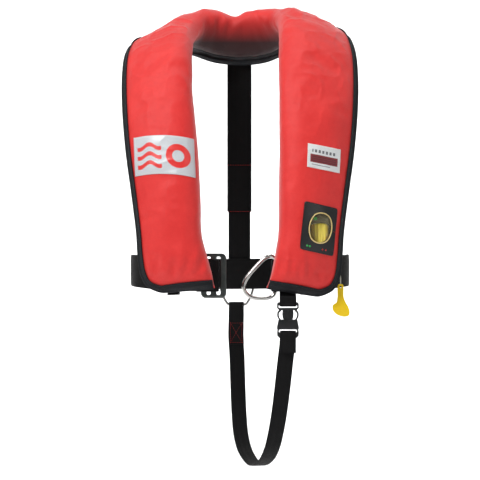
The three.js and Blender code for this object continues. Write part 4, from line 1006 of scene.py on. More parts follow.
# ---- The cover ----
def window_frame():
    """The window's middle on the cloth, the cloth's normal there, and the oval's right and up directions."""
    place = locate(122 + 2.6, -310.6 + 1)
    centre, out = cover(*place, 1, creased=False), outward(*place)
    lean = math.radians(-9)
    right = np.array([math.cos(lean), 0, math.sin(lean)])
    right = unit(right - right @ out * out)
    return centre, out, right, np.cross(right, out) * -1


window_centre, window_out, window_right, window_up = window_frame()


def cover_walls():
    """The cover's shell and lining as creased grids with a wall's thickness behind them. The shell has a hole at
    the window, and the lining one at the eyelet."""
    k = np.linspace(-STATIONS, STATIONS, 521)
    front = 1 - np.concatenate([np.linspace(0, 0.2, 15)[:-1], np.linspace(0.2, 0.86, 36)[:-1],
                                0.86 + 0.14 * np.sin(np.linspace(0, 1, 13) * math.pi / 2)])
    wrapped = 0.15 * (1 - np.cos(np.linspace(0, 1, 11)[1:] * math.pi / 2))
    v = np.concatenate([front, wrapped])
    face = np.concatenate([np.ones(len(front)), -np.ones(len(wrapped))])
    made = []
    for name, v, face, material in (
        ("CoverShell", v, face, RED_CLOTH),
        ("CoverLining", np.linspace(0.162, 1, 44), -np.ones(44), LINING_CLOTH),
    ):
        kk, vv = np.meshgrid(k, v, indexing="ij")
        ff = np.broadcast_to(face, kk.shape)
        lap = WRAP + (NAPE_WRAP - WRAP) * np.exp(-((kk / 3.4) ** 4))
        if name == "CoverShell":
            vv = np.where(ff < 0, vv * lap / WRAP, vv)
        else:
            vv = 1 - (1 - vv) * (1 - lap - 0.012) / (1 - WRAP - 0.012)
        outer = cover(kk, vv, ff)
        normal = grid_normals(outer)
        away = outward(kk, vv) * ff[..., None]
        normal = normal * np.sign((normal * away).sum(-1, keepdims=True).mean())
        inner = outer - normal * CLOTH
        spine = middle(k, np.full(len(k), 0.5))
        u = np.concatenate([[0], np.cumsum(np.linalg.norm(np.diff(spine, axis=0), axis=1))])
        cross = np.linalg.norm(np.diff(outer, axis=1), axis=-1).mean(0)
        uv = np.stack(np.meshgrid(u * MM, np.concatenate([[0], np.cumsum(cross)]) * MM, indexing="ij"), -1)
        mid = (outer[1:, 1:] + outer[:-1, :-1]) / 2
        if name == "CoverShell":
            off = mid - window_centre
            a, b = off @ window_right / 20, off @ window_up / 25
            hole = (a * a + b * b < 1) & (np.abs(off @ window_out) < 20)
        else:
            hole = np.linalg.norm(mid - cover(12.05, 0.86, -1, creased=False), axis=-1) < 2.4
        made.append(walled(name, outer, inner, material, uv, hole))
    return made


shell, lining = cover_walls()
settle(shell, "jacket", "cover_cloth", "cover_shell")
settle(lining, "jacket", "lining_cloth", "cover_lining")


def on_middle(targets, k, v):
    """The k and v of the middle surface nearest each target, by Gauss-Newton steps from a first guess."""
    step = 0.01
    for _ in range(14):
        here = middle(k, v)
        side = np.where(k > 0, -1, 1) * step
        a = (middle(k + side, v) - here) / side[:, None]
        b = middle(k, np.ones_like(v)) - middle(k, np.zeros_like(v))
        e = targets - here
        aa, ab, bb = (a * a).sum(1), (a * b).sum(1), (b * b).sum(1)
        ae, be = (a * e).sum(1), (b * e).sum(1)
        det = np.maximum(aa * bb - ab * ab, 1e-6)
        k = np.clip(k + np.clip((ae * bb - be * ab) / det, -0.6, 0.6), -STATIONS, STATIONS)
        v = np.clip(v + np.clip((be * aa - ae * ab) / det, -0.2, 0.2), 0, 1)
    return k, v


def edge_tape():
    """The tape folded over the seam and the lobes' bottoms. At each place along the edge, legs run inwards over
    both faces, square to the edge, and a half circle joins them outside it. Returns the tape, its grid of points
    and their normals."""
    bottom_v = np.linspace(0.0, 1, 60)
    k = np.concatenate([np.full(60, -STATIONS), np.linspace(-STATIONS, STATIONS, 900)[1:-1],
                        np.full(60, STATIONS)])
    v = np.concatenate([bottom_v, np.ones(898), bottom_v[::-1]])
    line = middle(k, v)
    run = np.concatenate([[0], np.cumsum(np.linalg.norm(np.diff(line, axis=0), axis=1))])
    at = np.linspace(0, run[-1], 620)
    k, v = np.interp(at, run, k), np.interp(at, run, v)
    line = np.stack([np.interp(at, run, line[:, i]) for i in range(3)], -1)
    kernel = np.hanning(9)[1:-1]
    padded = np.vstack([np.repeat(line[:1], 3, 0), line, np.repeat(line[-1:], 3, 0)])
    line = np.stack([np.convolve(padded[:, i], kernel / kernel.sum(), "valid") for i in range(3)], -1)
    along = unit(np.gradient(line, axis=0))
    normal = outward(k, np.minimum(v, 0.97))
    normal = unit(normal - (normal * along).sum(1, keepdims=True) * along)
    inwards = np.cross(normal, along)
    inside = middle(0.88 * k, np.full(len(k), 0.5)) - line
    inwards = inwards * np.sign((inwards * inside).sum(1, keepdims=True))
    for _ in range(3):
        inwards = unit(inwards + np.roll(inwards, 1, 0) * (np.arange(len(k)) > 0)[:, None] * 0.5
                       + np.roll(inwards, -1, 0) * (np.arange(len(k)) < len(k) - 1)[:, None] * 0.5)
    near_bottom = np.exp(-((np.minimum(at, run[-1] - at) / 90) ** 4))
    leg = 8.6 + 4.2 * near_bottom
    reach = np.array([1.0, 0.96, 0.8, 0.6, 0.4, 0.2, 0.06])
    columns = {1: [], -1: []}
    for share in reach:
        target = line + inwards * (leg * share)[:, None]
        kk, vv = on_middle(target, k, v)
        for face in (1, -1):
            sink = 0.9 if share == 1.0 else 0.0
            columns[face].append(cover(kk, vv, face, 1.5 + CLOTH - sink, creased=False))
    turn = np.linspace(-math.pi / 2, math.pi / 2, 9)[1:-1]
    radius = SEAM_HALF + 1.5 + CLOTH
    bend = [line - inwards * (1.6 * math.cos(t)) - inwards * 0.6 - normal * radius * math.sin(t) for t in turn]
    outer = np.stack(columns[1] + bend + columns[-1][::-1], 1)
    cross = grid_normals(outer)
    outside = np.concatenate([np.repeat(normal[:, None], 7, 1), np.repeat(-inwards[:, None], 7, 1),
                              np.repeat(-normal[:, None], 7, 1)], 1)
    cross = cross * np.sign((cross * outside).sum(-1).mean())
    inner = outer - cross * 0.9
    gap = np.linalg.norm(np.diff(outer, axis=1), axis=-1).mean(0)
    uv = np.stack(np.meshgrid(at * MM, np.concatenate([[0], np.cumsum(gap)]) * MM, indexing="ij"), -1)
    piece = walled("EdgeTape", outer, inner, TAPE, uv)
    return piece, outer, cross


tape, tape_grid, tape_normal = edge_tape()
settle(tape, "jacket", "edge_tape", "edge_binding")
TAPE_THREAD = (3.1, 2.2, 0.34, THREAD_BLACK)
rows = []
for a, b in ((1, 2), (-2, -3)):
    line = tape_grid[:, a] * 0.35 + tape_grid[:, b] * 0.65
    rows.append(stitched(f"tape_stitch_{a}", line, tape_normal[:, b], *TAPE_THREAD))
for end in (slice(0, 70), slice(-70, None)):
    rows.append(stitched("tape_stitch_low", tape_grid[end, 4], tape_normal[end, 4], *TAPE_THREAD))
settle(joined("TapeStitches", rows), "jacket", "edge_tape")


# ---- Patches on the front cloth ----
def on_cloth(x, z, lift):
    """Points of the front cloth at x and z, raised by a lift."""
    k, v = locate(x, z)
    return cover(k, v, 1, lift)


def patch_points(centre, across, down, bow, s, r, lift):
    """Points of a patch at shares s across and r down, each from -0.5 to 0.5; a bow lifts its middle."""
    rise = bow * (1 - 4 * s * s)
    x = centre[0] + s * across[0] + r * down[0]
    z = centre[1] + s * across[1] + r * down[1]
    return on_cloth(x, z + rise, lift)


PANEL = ([-117.4, -200.5], [93.5, -2.5], [3, -60.5], 5)
LABEL_PLACE = ([129.8, -201.2], [51, -9.6], [-1.4, -36.5], 0)
WINDOW_PLACE = ([122, -310.6], [52.4, -11.8], [-7.2, -74.1], 0)


def sewn_patch(name, place, columns, rows, lift, thick, material, slot, node, thread, inset):
    """A rectangular patch that follows the cloth, thinned at its edges, with a row of stitches inside its edge."""
    s, r = np.meshgrid(np.linspace(-0.5, 0.5, columns), np.linspace(-0.5, 0.5, rows), indexing="xy")
    wide, tall = math.hypot(*place[1]), math.hypot(*place[2])
    edge = np.minimum((0.5 - np.abs(s)) * wide, (0.5 - np.abs(r)) * tall)
    high = lift + thick * np.clip(edge / 0.8, 0.25, 1)
    base = patch_points(*place, s, r, 0.0)
    out = grid_normals(base)
    out = out * np.sign(-out[..., 1].mean())
    uv = np.stack([s * wide, -r * tall], -1) * MM
    piece = walled(name, base + out * high[..., None], base + out * (lift - 0.5), material, uv)
    a, b = 0.5 - inset / wide, 0.5 - inset / tall
    corners = np.array([[-a, -b], [a, -b], [a, b], [-a, b], [-a, -b]])
    loop = np.vstack([np.linspace(corners[i], corners[i + 1], 40)[:-1] for i in range(4)] + [corners[-1:]])
    path = patch_points(*place, loop[:, 0], loop[:, 1], lift + thick)
    settle(piece, "jacket", slot, node)
    rail = stitched(f"{name}_stitches", path, (0, -1, 0.1), 3.0, 2.1, 0.3, thread)
    settle(rail, "jacket", slot)
    return piece


sewn_patch("ReflectivePanel", PANEL, 91, 61, 0.6, 0.7, PANEL_FILM, "reflective_tape", "reflective_panel",
           BOBBIN_PLASTIC, 2.2)
sewn_patch("WovenLabel", LABEL_PLACE, 53, 39, 0.5, 0.6, LABEL, "label_cloth", "woven_label", BOBBIN_PLASTIC, 1.4)


def window_patch():
    """The vinyl patch round the window: rings of points from the oval hole to a rectangle with round corners,
    raised in a rim at the hole and rolled down at the outside. Also its cream rim, stitches and small dots."""
    turn = np.linspace(0, 2 * math.pi, 121)
    oval = (window_centre + 17.2 * np.cos(turn)[:, None] * window_right
            + 22.2 * np.sin(turn)[:, None] * window_up)
    centre, across, down, _ = WINDOW_PLACE
    power, fine = 2 / 22, np.linspace(0, 2 * math.pi, 4001)
    box_s = np.sign(np.cos(fine)) * np.abs(np.cos(fine)) ** power * 0.5
    box_r = -np.sign(np.sin(fine)) * np.abs(np.sin(fine)) ** power * 0.5
    box = np.stack([centre[0] + box_s * across[0] + box_r * down[0], centre[1] + box_s * across[1] + box_r * down[1],
                    0 * fine], -1)
    box = even(box, 121)[:, :2]
    share = np.array([0, 0.02, 0.08, 0.2, 0.35, 0.5, 0.65, 0.8, 0.9, 0.96, 1.0])
    flat = oval[:, None, [0, 2]] * (1 - share)[None, :, None] + box[:, None] * share[None, :, None]
    base = on_cloth(flat[..., 0], flat[..., 1], 0.0)
    out = np.broadcast_to(window_out, base.shape)
    high = np.array([1.2, 2.0, 2.2, 2.0, 1.9, 1.9, 1.9, 1.9, 1.9, 1.9, 1.5])
    uv = flat * MM
    piece = walled("WindowPatch", base + out * high[None, :, None], base + out * 0.2, WINDOW_VINYL, uv)
    settle(piece, "jacket", "window_vinyl", "window_patch")
    ring = base[:-1, 2] + window_out * 2.1
    bead = swept("WindowRim", even(ring, 120, closed=True), round_section(1.0, 10) * [1.5, 0.9], window_out,
                 RIM_CREAM, closed=True)
    settle(bead, "jacket", "window_vinyl")
    outer = on_cloth(flat[:, 8, 0], flat[:, 8, 1], 0.0) + window_out * 1.95
    rail = stitched("window_stitches", outer, window_out, 3.0, 2.1, 0.3, THREAD_BLACK)
    settle(rail, "jacket", "window_vinyl")
    marks = ((-0.30, 0.40, 1.5, GREEN), (-0.22, 0.40, 1.5, GREEN),
             (0.16, 0.41, 1.2, RED_DOT), (0.26, 0.41, 1.2, RED_DOT))
    for i, (s, r, radius, material) in enumerate(marks):
        place = patch_points(*WINDOW_PLACE, np.array([s]), np.array([r]), 0.0)[0] + window_out * 2.1
        disc = swept(f"window_dot_{i}", np.array([place - window_out * 0.3, place + window_out * 0.25]),
                     round_section(radius, 16), (1, 0, 0), material)
        settle(disc, "jacket", "indicator")


def ellipse_pane():
    """The clear window: a shallow dome with a flat back, from a middle point out to its oval edge."""
    turn = np.arange(96) / 96 * 2 * math.pi
    rings = []
    for q, high in ((0.999, -0.5), (0.999, 0.3), (0.8, 0.75), (0.5, 1.0), (0.2, 1.1)):
        rings.append(window_centre + q * 17 * np.cos(turn)[:, None] * window_right
                     + q * 22 * np.sin(turn)[:, None] * window_up + window_out * high)
    points = np.vstack([*rings, [window_centre + window_out * 1.12], [window_centre - window_out * 0.5]])
    i, j = np.meshgrid(np.arange(4), np.arange(96), indexing="ij")
    i, j = i.ravel(), j.ravel()
    quads = np.stack([i * 96 + j, i * 96 + (j + 1) % 96, (i + 1) * 96 + (j + 1) % 96, (i + 1) * 96 + j], -1)
    k = np.arange(96)
    top = np.stack([4 * 96 + k, 4 * 96 + (k + 1) % 96, np.full(96, 5 * 96)], -1)
    low = np.stack([(k + 1) % 96, k, np.full(96, 5 * 96 + 1)], -1)
    return make("WindowLens", points, [quads, top, low], LENS)


window_patch()
settle(ellipse_pane(), "jacket", "lens", "window_lens")


# ---- What shows through the window, and the rest of the inflator ----
tilt = math.radians(INFLATOR["tilt"])


def at_inflator(points):
    """Points of the inflator's own frame, tilted about x and moved to its place."""
    c, s = math.cos(tilt), math.sin(tilt)
    return np.asarray(points, float) @ np.array([[1, 0, 0], [0, c, s], [0, -s, c]]) + [
        INFLATOR["x"], INFLATOR["y"], INFLATOR["z"]]


def automatic_cap():
    """The ribbed yellow cap: a skirt whose radius swells and falls fourteen times round, with rolled edges."""
    profile = [[0, -38.2], [10.5, -38.2], [12.2, -37.7], [12.9, -36.4], [12.9, -20], [12.9, -4.4], [12.6, -2.4],
               [11.6, -1.0], [9.2, -0.6], [9, -1.4], [9, -33.8], [0, -34]]
    ribs = lambda turn, z: np.where((z < -3) & (z > -37), 0.42 * np.cos(14 * turn), 0)
    fine = even(np.column_stack([profile, np.zeros(len(profile))]), 90)[:, :2]
    fine[0, 0] = fine[-1, 0] = 0
    return turned("AutomaticCap", fine, CAP_PLASTIC, 140, at_inflator([[0, 0, 0]])[0], tilt, ribs)


settle(automatic_cap(), "jacket", "cap_plastic", "automatic_cap")


# ---- Belt, keepers and back strap ----
def power(value, exponent):
    """A power that keeps the value's sign."""
    return np.sign(value) * np.abs(value) ** exponent


def belt_point(turn):
    """The belt's loop: a superellipse, squarer at the front, that rises and falls a little twice a turn."""
    turn = np.asarray(turn, float)
    front = np.cos(turn) > 0
    corner = np.where(front, 2 / 3.2, 2 / 2.4)
    return np.stack([-BELT["half_span"] * power(np.sin(turn), corner),
                     -np.where(front, BELT["front"], BELT["back"]) * power(np.cos(turn), corner),
                     -BELT["drop"] - BELT["rise"] * np.cos(2 * turn)], -1)


def turn_at(x):
    """The turn at which the belt's front run reaches a distance from the middle."""
    return math.asin((abs(x) / BELT["half_span"]) ** 1.6)


def half_fold(bar_x, radius, side, back, flare):
    """Webbing that turns half round a bar, in plan, and goes back in front of itself."""
    z = float(belt_point(turn_at(bar_x))[2])
    turn = np.linspace(0, math.pi, 15)
    bend = np.stack([bar_x - side * radius * np.sin(turn), -BELT["front"] - radius * (1 - np.cos(turn)),
                     np.full(15, z)], -1)
    return np.vstack([bend, [[bar_x + side * back, -BELT["front"] - 2 * radius - flare, z]]])


buckle_radius = BUCKLE["plate"] / 2 + BUCKLE["slack"] + WEBBING / 2
buckle_fold = BUCKLE["x"] + BUCKLE["bar"] / 2 - 1.5
tether_radius = TETHER["rod"] / 2 + 0.4 + WEBBING / 2
buckle_z = float(belt_point(turn_at(BUCKLE["x"]))[2])
tether_z = float(belt_point(turn_at(TETHER["x"]))[2])


def waist_belt():
    """The belt's whole run: its left fold, its loop round the waist and its right fold."""
    start, end = turn_at(buckle_fold - 3), 2 * math.pi - turn_at(TETHER["x"] + 3)
    loop = belt_point(np.linspace(start, end, 500))
    left = half_fold(buckle_fold, buckle_radius, -1, 30, 4)[::-1]
    right = half_fold(TETHER["x"], tether_radius, 1, 20, 0)
    path = even(np.vstack([left, loop, right]), 620)
    ripple = (noise(path / 34 + 4) - 0.5)[:, None] * 0.8
    path = path + ripple * np.array([0, 0, 1.0])
    return webbing("WaistBelt", path, BELT["width"], WEBBING, (0, 0, 1), BELT_WEB)


settle(waist_belt(), "jacket", "webbing", "waist_belt")


def bartack(name, centre, thread):
    """A box of zigzag stitches on the front of the belt: three upright rows, side by side."""
    up, normal = np.array([0, 0, 1.0]), np.array([0, -1.0, 0])
    made = []
    for share in (-0.5, 0, 0.5):
        foot = np.asarray(centre, float) + np.cross(up, normal) * share * 3.2
        line = np.linspace(foot - up * 20, foot + up * 20, 12)
        made.append(stitched("tack", line, normal, 1.5, 2.4, 0.32, thread, slant=0.5))
    settle(joined(name, made), "jacket", "webbing")


fold_face = -BELT["front"] - 2 * buckle_radius - WEBBING / 2
bartack("BeltTackLeft", (buckle_fold - 22, fold_face - 3.0, buckle_z), THREAD_RED)
fold_face = -BELT["front"] - 2 * tether_radius - WEBBING / 2
bartack("BeltTackRight", (TETHER["x"] + 14, fold_face - 0.1, tether_z), THREAD_BLACK)


def keeper(side, sign):
    """A loop of thin webbing sewn behind a lobe, which the belt runs through."""
    turn = turn_at(104) if sign < 0 else 2 * math.pi - turn_at(104)
    belt_at = belt_point(turn)
    along = belt_point(turn + 0.01) - belt_point(turn - 0.01)
    along[2] = 0
    inside = belt_at[1] + WEBBING / 2 + 2.2 + 0.8
    half = BELT["width"] / 2 + 3
    face = -108.5
    knots = [[face, half + 14], [face + 1, half + 6], [inside - 3, half + 1], [inside, half - 6],
             [inside, 6 - half], [inside - 3, -half - 1], [face - 1, -half - 3]]
    path = smooth_route([[belt_at[0], y, belt_at[2] + dz] for y, dz in knots], 90)
    return webbing(f"BeltKeeper_{side}", path, 20, 1.6, unit(along), STRAP_WEB)


for side, sign in (("left", -1), ("right", 1)):
    settle(keeper(side, sign), "jacket", "webbing", f"belt_keeper_{side}")

back_loop = RING["wire"] / 2 + 0.4 + WEBBING / 2


def strap_y(z):
    """How far back the back strap hangs at a height: a straight line from the collar to the ring."""
    return 103 + (z + 44) * (RING["y"] - back_loop - 103) / (-350 + 44)


def back_straps():
    """The upper webbing from the collar, and the lower webbing sewn over it, round the ring and up behind."""
    x = -1
    z = np.linspace(-43, -281, 120)
    wave = (noise(np.stack([z * 0, z * 0, z / 40], -1)) - 0.5) * 1.2
    upper = np.stack([np.full(120, x), strap_y(z) + wave * np.sin(np.linspace(0, math.pi, 120)), z], -1)
    upper = np.vstack([[[x, 106.2, -29], [x, 107.0, -36], [x, 107.2, -44], [x, 105.6, -56]], upper[12:]])
    half_turn = np.linspace(0, math.pi, 15)
    bend = np.stack([np.full(15, x), RING["y"] - back_loop * np.cos(half_turn),
                     RING["top"] - back_loop * np.sin(half_turn)], -1)
    lower = np.vstack([
        [[x, strap_y(-203) + WEBBING + 0.4, -203], [x, strap_y(-281) + WEBBING + 0.4, -281],
         [x, strap_y(-330) + 0.8, -330], [x, RING["y"] - back_loop, -352],
         [x, RING["y"] - back_loop, RING["top"] + 12]],
        bend, [[x, RING["y"] + back_loop, RING["top"] + 34]]])
    fine = even(lower, 260)
    up = webbing("BackStrapUpper", even(upper, 160), 40, WEBBING, (1, 0, 0), BELT_WEB)
    low = webbing("BackStrapLower", fine, 36, WEBBING, (1, 0, 0), BELT_WEB)
    return up, low


strap_upper, strap_lower = back_straps()
settle(strap_upper, "jacket", "webbing", "back_strap_upper")
settle(strap_lower, "jacket", "webbing", "back_strap_lower")
for name, ends, radius, thread in (
    ("0", ((-19, -204.5), (17, -204.5)), 0.55, THREAD_RED),
    ("1", ((-19, -281), (17, -281)), 0.55, THREAD_RED),
    ("side_0", ((-19, -206), (-19, -279)), 0.36, THREAD_BLACK),
    ("side_1", ((17, -206), (17, -279)), 0.36, THREAD_BLACK),
):
    line = np.array([[x, strap_y(z) - WEBBING / 2 - 0.1, z] for x, z in ends])
    settle(stitched(f"strap_stitch_{name}", line, (0, -1, 0), 3.4, 2.5, radius, thread), "jacket", "webbing")


def strap_rows(name, path, low, high, offset, normal, thread):
    """Sewing on a hanging stretch of webbing: a box of stitches between two heights with a cross in it. Each
    line is laid on the webbing's middle line at its own height."""
    order = np.argsort(path[:, 2])
    corners = [(-9.5, high), (9.5, high), (9.5, low), (-9.5, low)]
    pairs = [*zip(corners, corners[1:] + corners[:1]), (corners[0], corners[2]), (corners[1], corners[3])]
    made = []
    for (x1, z1), (x2, z2) in pairs:
        x, z = np.linspace(x1, x2, 24), np.linspace(z1, z2, 24)
        middle_line = [np.interp(z, path[order, 2], path[order, axis]) for axis in (0, 1)]
        line = np.stack([middle_line[0] + x, middle_line[1], z], -1) + np.asarray(normal, float) * offset
        made.append(stitched("row", line, normal, 2.9, 2.1, 0.34, thread))
    return joined(name, made)


box = strap_rows("RearStrapBox", rear_path[:56], -497, -465, 1.05, (0, -1, 0), THREAD_RED)
settle(box, "crotch_ring", "webbing")


# ---- Metal ----
def ring_rod(node, name, knots, radius, material, steps, sides):
    """A closed ring of round rod on a smooth curve through its knots."""
    path = smooth_route(knots, steps, True)
    piece = swept(name, path, round_section(radius, sides), (0, 1, 0), material, closed=True)
    settle(piece, node, "ring_steel", node)


BOW = [[-5, 30.6], [-14, 28], [-29, 14], [-41.5, -1], [-48, -13.5], [-46.5, -24], [-38, -32.5], [-24, -35.5],
       [-7, -33.8]]
tether_y = -BELT["front"] - tether_radius
bar = [[TETHER["x"], tether_y, tether_z + dz] for dz in (26.5, 13, 0, -13, -28.5)]
bow = [[TETHER["x"] + dx, tether_y, tether_z + dz] for dx, dz in BOW][::-1]
ring_rod("tether_ring", "TetherRing", bar + bow, TETHER["rod"] / 2, BRUSHED, 260, 32)
HALF = [[22, 0], [26.3, -3.5], [27, -14], [25.5, -25], [22.3, -34], [18.3, -RING["drop"] + 4.5],
        [14, -RING["drop"]]]
outline = [[0, 0], *HALF, [0, -RING["drop"]], *[[-dx, dz] for dx, dz in HALF][::-1]]
knots = [[RING["x"] + dx, RING["y"], RING["top"] + dz] for dx, dz in outline]
ring_rod("crotch_ring", "CrotchRing", knots, RING["wire"] / 2, RING_STEEL, 240, 28)


def belt_buckle():
    """The slotted frame: a rounded plate with two slots."""
    wide, high, bar_wide = BUCKLE["width"], BUCKLE["height"], BUCKLE["bar"]
    slot = (wide - 3 * bar_wide) / 2
    slots = [rounded(BUCKLE["x"] + s * (bar_wide + slot) / 2, buckle_z, slot, high - 2 * BUCKLE["rail"], 2.2)
             for s in (-1, 1)]
    return plate("BeltBuckle", rounded(BUCKLE["x"], buckle_z, wide, high, 8, 14), slots, BUCKLE["plate"], 1.1,
                 DARK_STEEL, -BELT["front"] - buckle_radius, 5)


settle(belt_buckle(), "belt_buckle", "buckle_steel", "belt_buckle")


# ---- Side-release clip ----
clip_x, clip_y = CLIP["x"], CLIP["y"]


def at(drop):
    """A height by its drop below the clip's top."""
    return CLIP["top"] - drop


def clip_pieces():
    """The plug's head, blade and two arms, and the socket, from outlines with rounded edges."""
    half, tongue = CLIP["width"] / 2, CLIP["tongue"] / 2
    base = [[-half + 2, at(0)], [0, at(-0.4)], [half - 2, at(0)], [half, at(2.5)], [half, at(9)],
            [half - 3.4, at(12.5)], [-half + 3.4, at(12.5)], [-half, at(9)], [-half, at(2.5)]]
    slot = rounded(0, at(6.75), CLIP["width"] - 5, 3.9, 1.5, 6)
    shift = lambda loop: np.asarray(loop, float) + [clip_x, 0]
    head = plate("ClipHead", shift(base), [shift(slot)], 6.4, 0.9, CLIP_PLASTIC, clip_y)
    blade = plate("ClipBlade", shift([
        [-tongue + 0.8, at(11.5)], [tongue - 0.8, at(11.5)], [tongue, at(18)], [tongue - 0.8, at(24.8)],
        [5.5, at(28.8)], [4.6, at(37.8)], [-4.6, at(37.8)], [-5.5, at(28.8)], [-tongue + 0.8, at(24.8)],
        [-tongue, at(18)]]), [], 4.4, 0.6, CLIP_PLASTIC, clip_y)
    ribs = []
    for i, dx in enumerate((-5.2, 0, 5.2)):
        rib = rounded(dx, at(18.6), 1.6, 10.5, 0.7, 4)
        ribs.append(plate(f"rib_{i}", shift(rib), [], 5.6, 0.5, CLIP_PLASTIC, clip_y))
    settle(joined("ClipPlug", [head, blade, *ribs]), "jacket", "clip_plastic", "clip_plug")
    for side, sign in (("left", -1), ("right", 1)):
        loop = [[sign * dx, at(drop)] for dx, drop in (
            (10.2, 12.4), (14.2, 12.2), (16.2, 15), (16.9, 18), (16.8, 21), (15.9, 24), (14.3, 26.4), (12.6, 27.4),
            (12.2, 37), (9.4, 37.6), (9, 34), (9.8, 28.6), (11.4, 26.2), (13.2, 23.6), (14, 20.4), (13.9, 17.6),
            (12.8, 15.4), (11, 14.2))]
        arm = plate(f"ClipArm_{side}", shift(loop), [], 6, 0.4, CLIP_PLASTIC, clip_y)
        settle(arm, f"clip_arm_{side}", "clip_plastic", f"clip_arm_{side}")
    upper = [[-14.6, at(26.8)], [-6, at(26.8)], [-4, at(28.4)], [4, at(28.4)], [6, at(26.8)], [14.6, at(26.8)],
             [17.2, at(39.5)], [17.0, at(41.6)], [-17.0, at(41.6)], [-17.2, at(39.5)]]
    body = []
    for sign in (-1, 1):
        wall = plate("socket_wall", shift(upper), [], 1.9, 0.7, CLIP_PLASTIC, clip_y + sign * 4.5)
        body.append(wall)
        side_wall = [[sign * dx, at(drop)]
                     for dx, drop in ((13.2, 27.2), (14.5, 27.2), (17.0, 39.5), (16.6, 41.4), (13.2, 41.4))]
        body.append(plate("socket_side", shift(side_wall), [], 9.4, 0.4, CLIP_PLASTIC, clip_y))
    low = rounded(0, at(44.6), CLIP["width"] - 6, 4.4, 1.5, 6)
    frame_loop = [[-16.6, at(41)], [16.6, at(41)], [16.4, at(42.4)], [17, at(48)], [16.6, at(52)], [13.6, at(55.4)],
                  [-13.6, at(55.4)], [-16.6, at(52)], [-17, at(48)], [-16.4, at(42.4)]]
    body.append(plate("socket_frame", shift(frame_loop), [shift(low)], 5.2, 0.9, CLIP_PLASTIC, clip_y))
    for sign in (-1, 1):
        lip = [[-15.8, at(40.2)], [15.8, at(40.2)], [15.8, at(42.2)], [-15.8, at(42.2)]]
        body.append(plate("socket_lip", shift(lip), [], 1.7, 0.6, CLIP_PLASTIC, clip_y + sign * 4.4))
    settle(joined("ClipSocket", body), "crotch_clip", "clip_plastic", "clip_socket")


clip_pieces()
fold_radius = 3.2 + 0.4 + WEBBING / 2
half_turn = np.linspace(0, math.pi, 15)
under = np.stack([np.full(15, clip_x), clip_y + fold_radius * np.cos(half_turn),
                  at(5) - 1.3 * np.sin(half_turn)], -1)
tab_path = np.vstack([
    [[clip_x, -119, -388], [clip_x, -122, -404], [clip_x, clip_y + fold_radius - 1, -415]],
    under, [[clip_x, clip_y - fold_radius, -415]]])
tab = webbing("CrotchTab", even(tab_path, 160), 26, 1.4, (1, 0, 0), STRAP_WEB)
settle(tab, "jacket", "webbing", "crotch_tab")


# ---- Pull tab ----
def pull_tab():
    """The yellow tab: a smooth handle with an eye at its neck, a rib down its stem and three finger ribs."""
    outline = np.array([
        [-3, 0], [3, 0], [4.6, -3], [4.9, -12], [5.1, -20], [8, -28], [12, -35], [14.4, -43], [12.8, -49], [7, -51],
        [-1, -49.6], [-9, -45], [-12.6, -38], [-11.8, -32.5], [-6.5, -28.5], [-4.9, -20], [-4.9, -12], [-4.6, -3],
    ], float)
    loop = soft_outline(outline, 150) + [TAB["x"], TAB["top"]]
    eye = rounded(TAB["x"], TAB["top"] - 4.4, 3.2, 3.2, 1.5, 6)
    parts = [plate("PullTab", loop, [eye], TAB["thick"], 0.8, TAB_PLASTIC, TAB["y"])]
    ribs = ((0, 34.5, 13, 1.5), (0.8, 38.2, 15.5, 1.5), (1.6, 41.9, 14, 1.5), (0, 18, 1.5, 15))
    for dx, drop, wide, high in ribs:
        rib = rounded(TAB["x"] + dx, TAB["top"] - drop, wide, high, 0.7, 5)
        parts.append(plate("tab_rib", rib, [], TAB["thick"] + 0.7, 0.35, TAB_PLASTIC, TAB["y"]))
    return joined("PullTab", parts)


tab = pull_tab()
settle(tab, "pull_tab", "tab_plastic", "pull_tab")


# ---- Every CAD node that stays ----
def merged(node):
    """A copy of a CAD node with its doubled points merged."""
    source = frame["nodes"][node]
    copy = source.copy()
    copy.data = source.data.copy()
    copy.name = node + "_smooth"
    copy.parent = None
    copy.matrix_world = source.matrix_world
    scene.collection.objects.link(copy)
    copy.modifiers.clear()
    weld(copy, 1e-5)
    return copy


# The rounding of each kept piece's edges, in millimetres; 0 only smooths it.
ROUNDED = {
    "gas_cylinder": 0, "inflator_body": 0.7, "status_indicator": 0.3, "firing_lever": 0.4, "inflation_stem": 0.4,
    "manifold_nut": 0.5, "cord_eyelet": 0.25, "oral_flange": 0.4, "oral_tube": 0, "oral_valve": 0.4, "oral_cap": 0.5,
    "whistle": 0.8, "whistle_lanyard": 0, "piercing_pin": 0, "water_bobbin": 0.4, "firing_spring": 0,
}


def finish_nodes():
    """Gives each CAD node that still shows its slot's finish, and stands a smoothed copy in for those listed."""
    hidden = {n for piece in bpy.data.objects if piece.get("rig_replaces") for n in piece["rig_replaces"]}
    body_of = {n: body for body, nodes in BODIES.items() for n in nodes}
    for name, node in frame["nodes"].items():
        if name in hidden:
            continue
        material = MATERIAL_OF[SLOT_OF[name]]
        if name not in ROUNDED:
            node.data.materials.clear()
            node.data.materials.append(material)
            continue
        copy = merged(name)
        copy.data.materials.clear()
        copy.data.materials.append(material)
        copy.data.polygons.foreach_set("use_smooth", np.ones(len(copy.data.polygons), bool))
        copy.data.set_sharp_from_angle(angle=math.radians(34))
        if ROUNDED[name]:
            bevel = copy.modifiers.new("Edge", "BEVEL")
            bevel.width = ROUNDED[name] * MM
            bevel.segments = 3
            bevel.limit_method = "ANGLE"
            bevel.angle_limit = math.radians(34)
            bevel.harden_normals = True
        settle(copy, body_of.get(name, "jacket"), SLOT_OF[name], name)


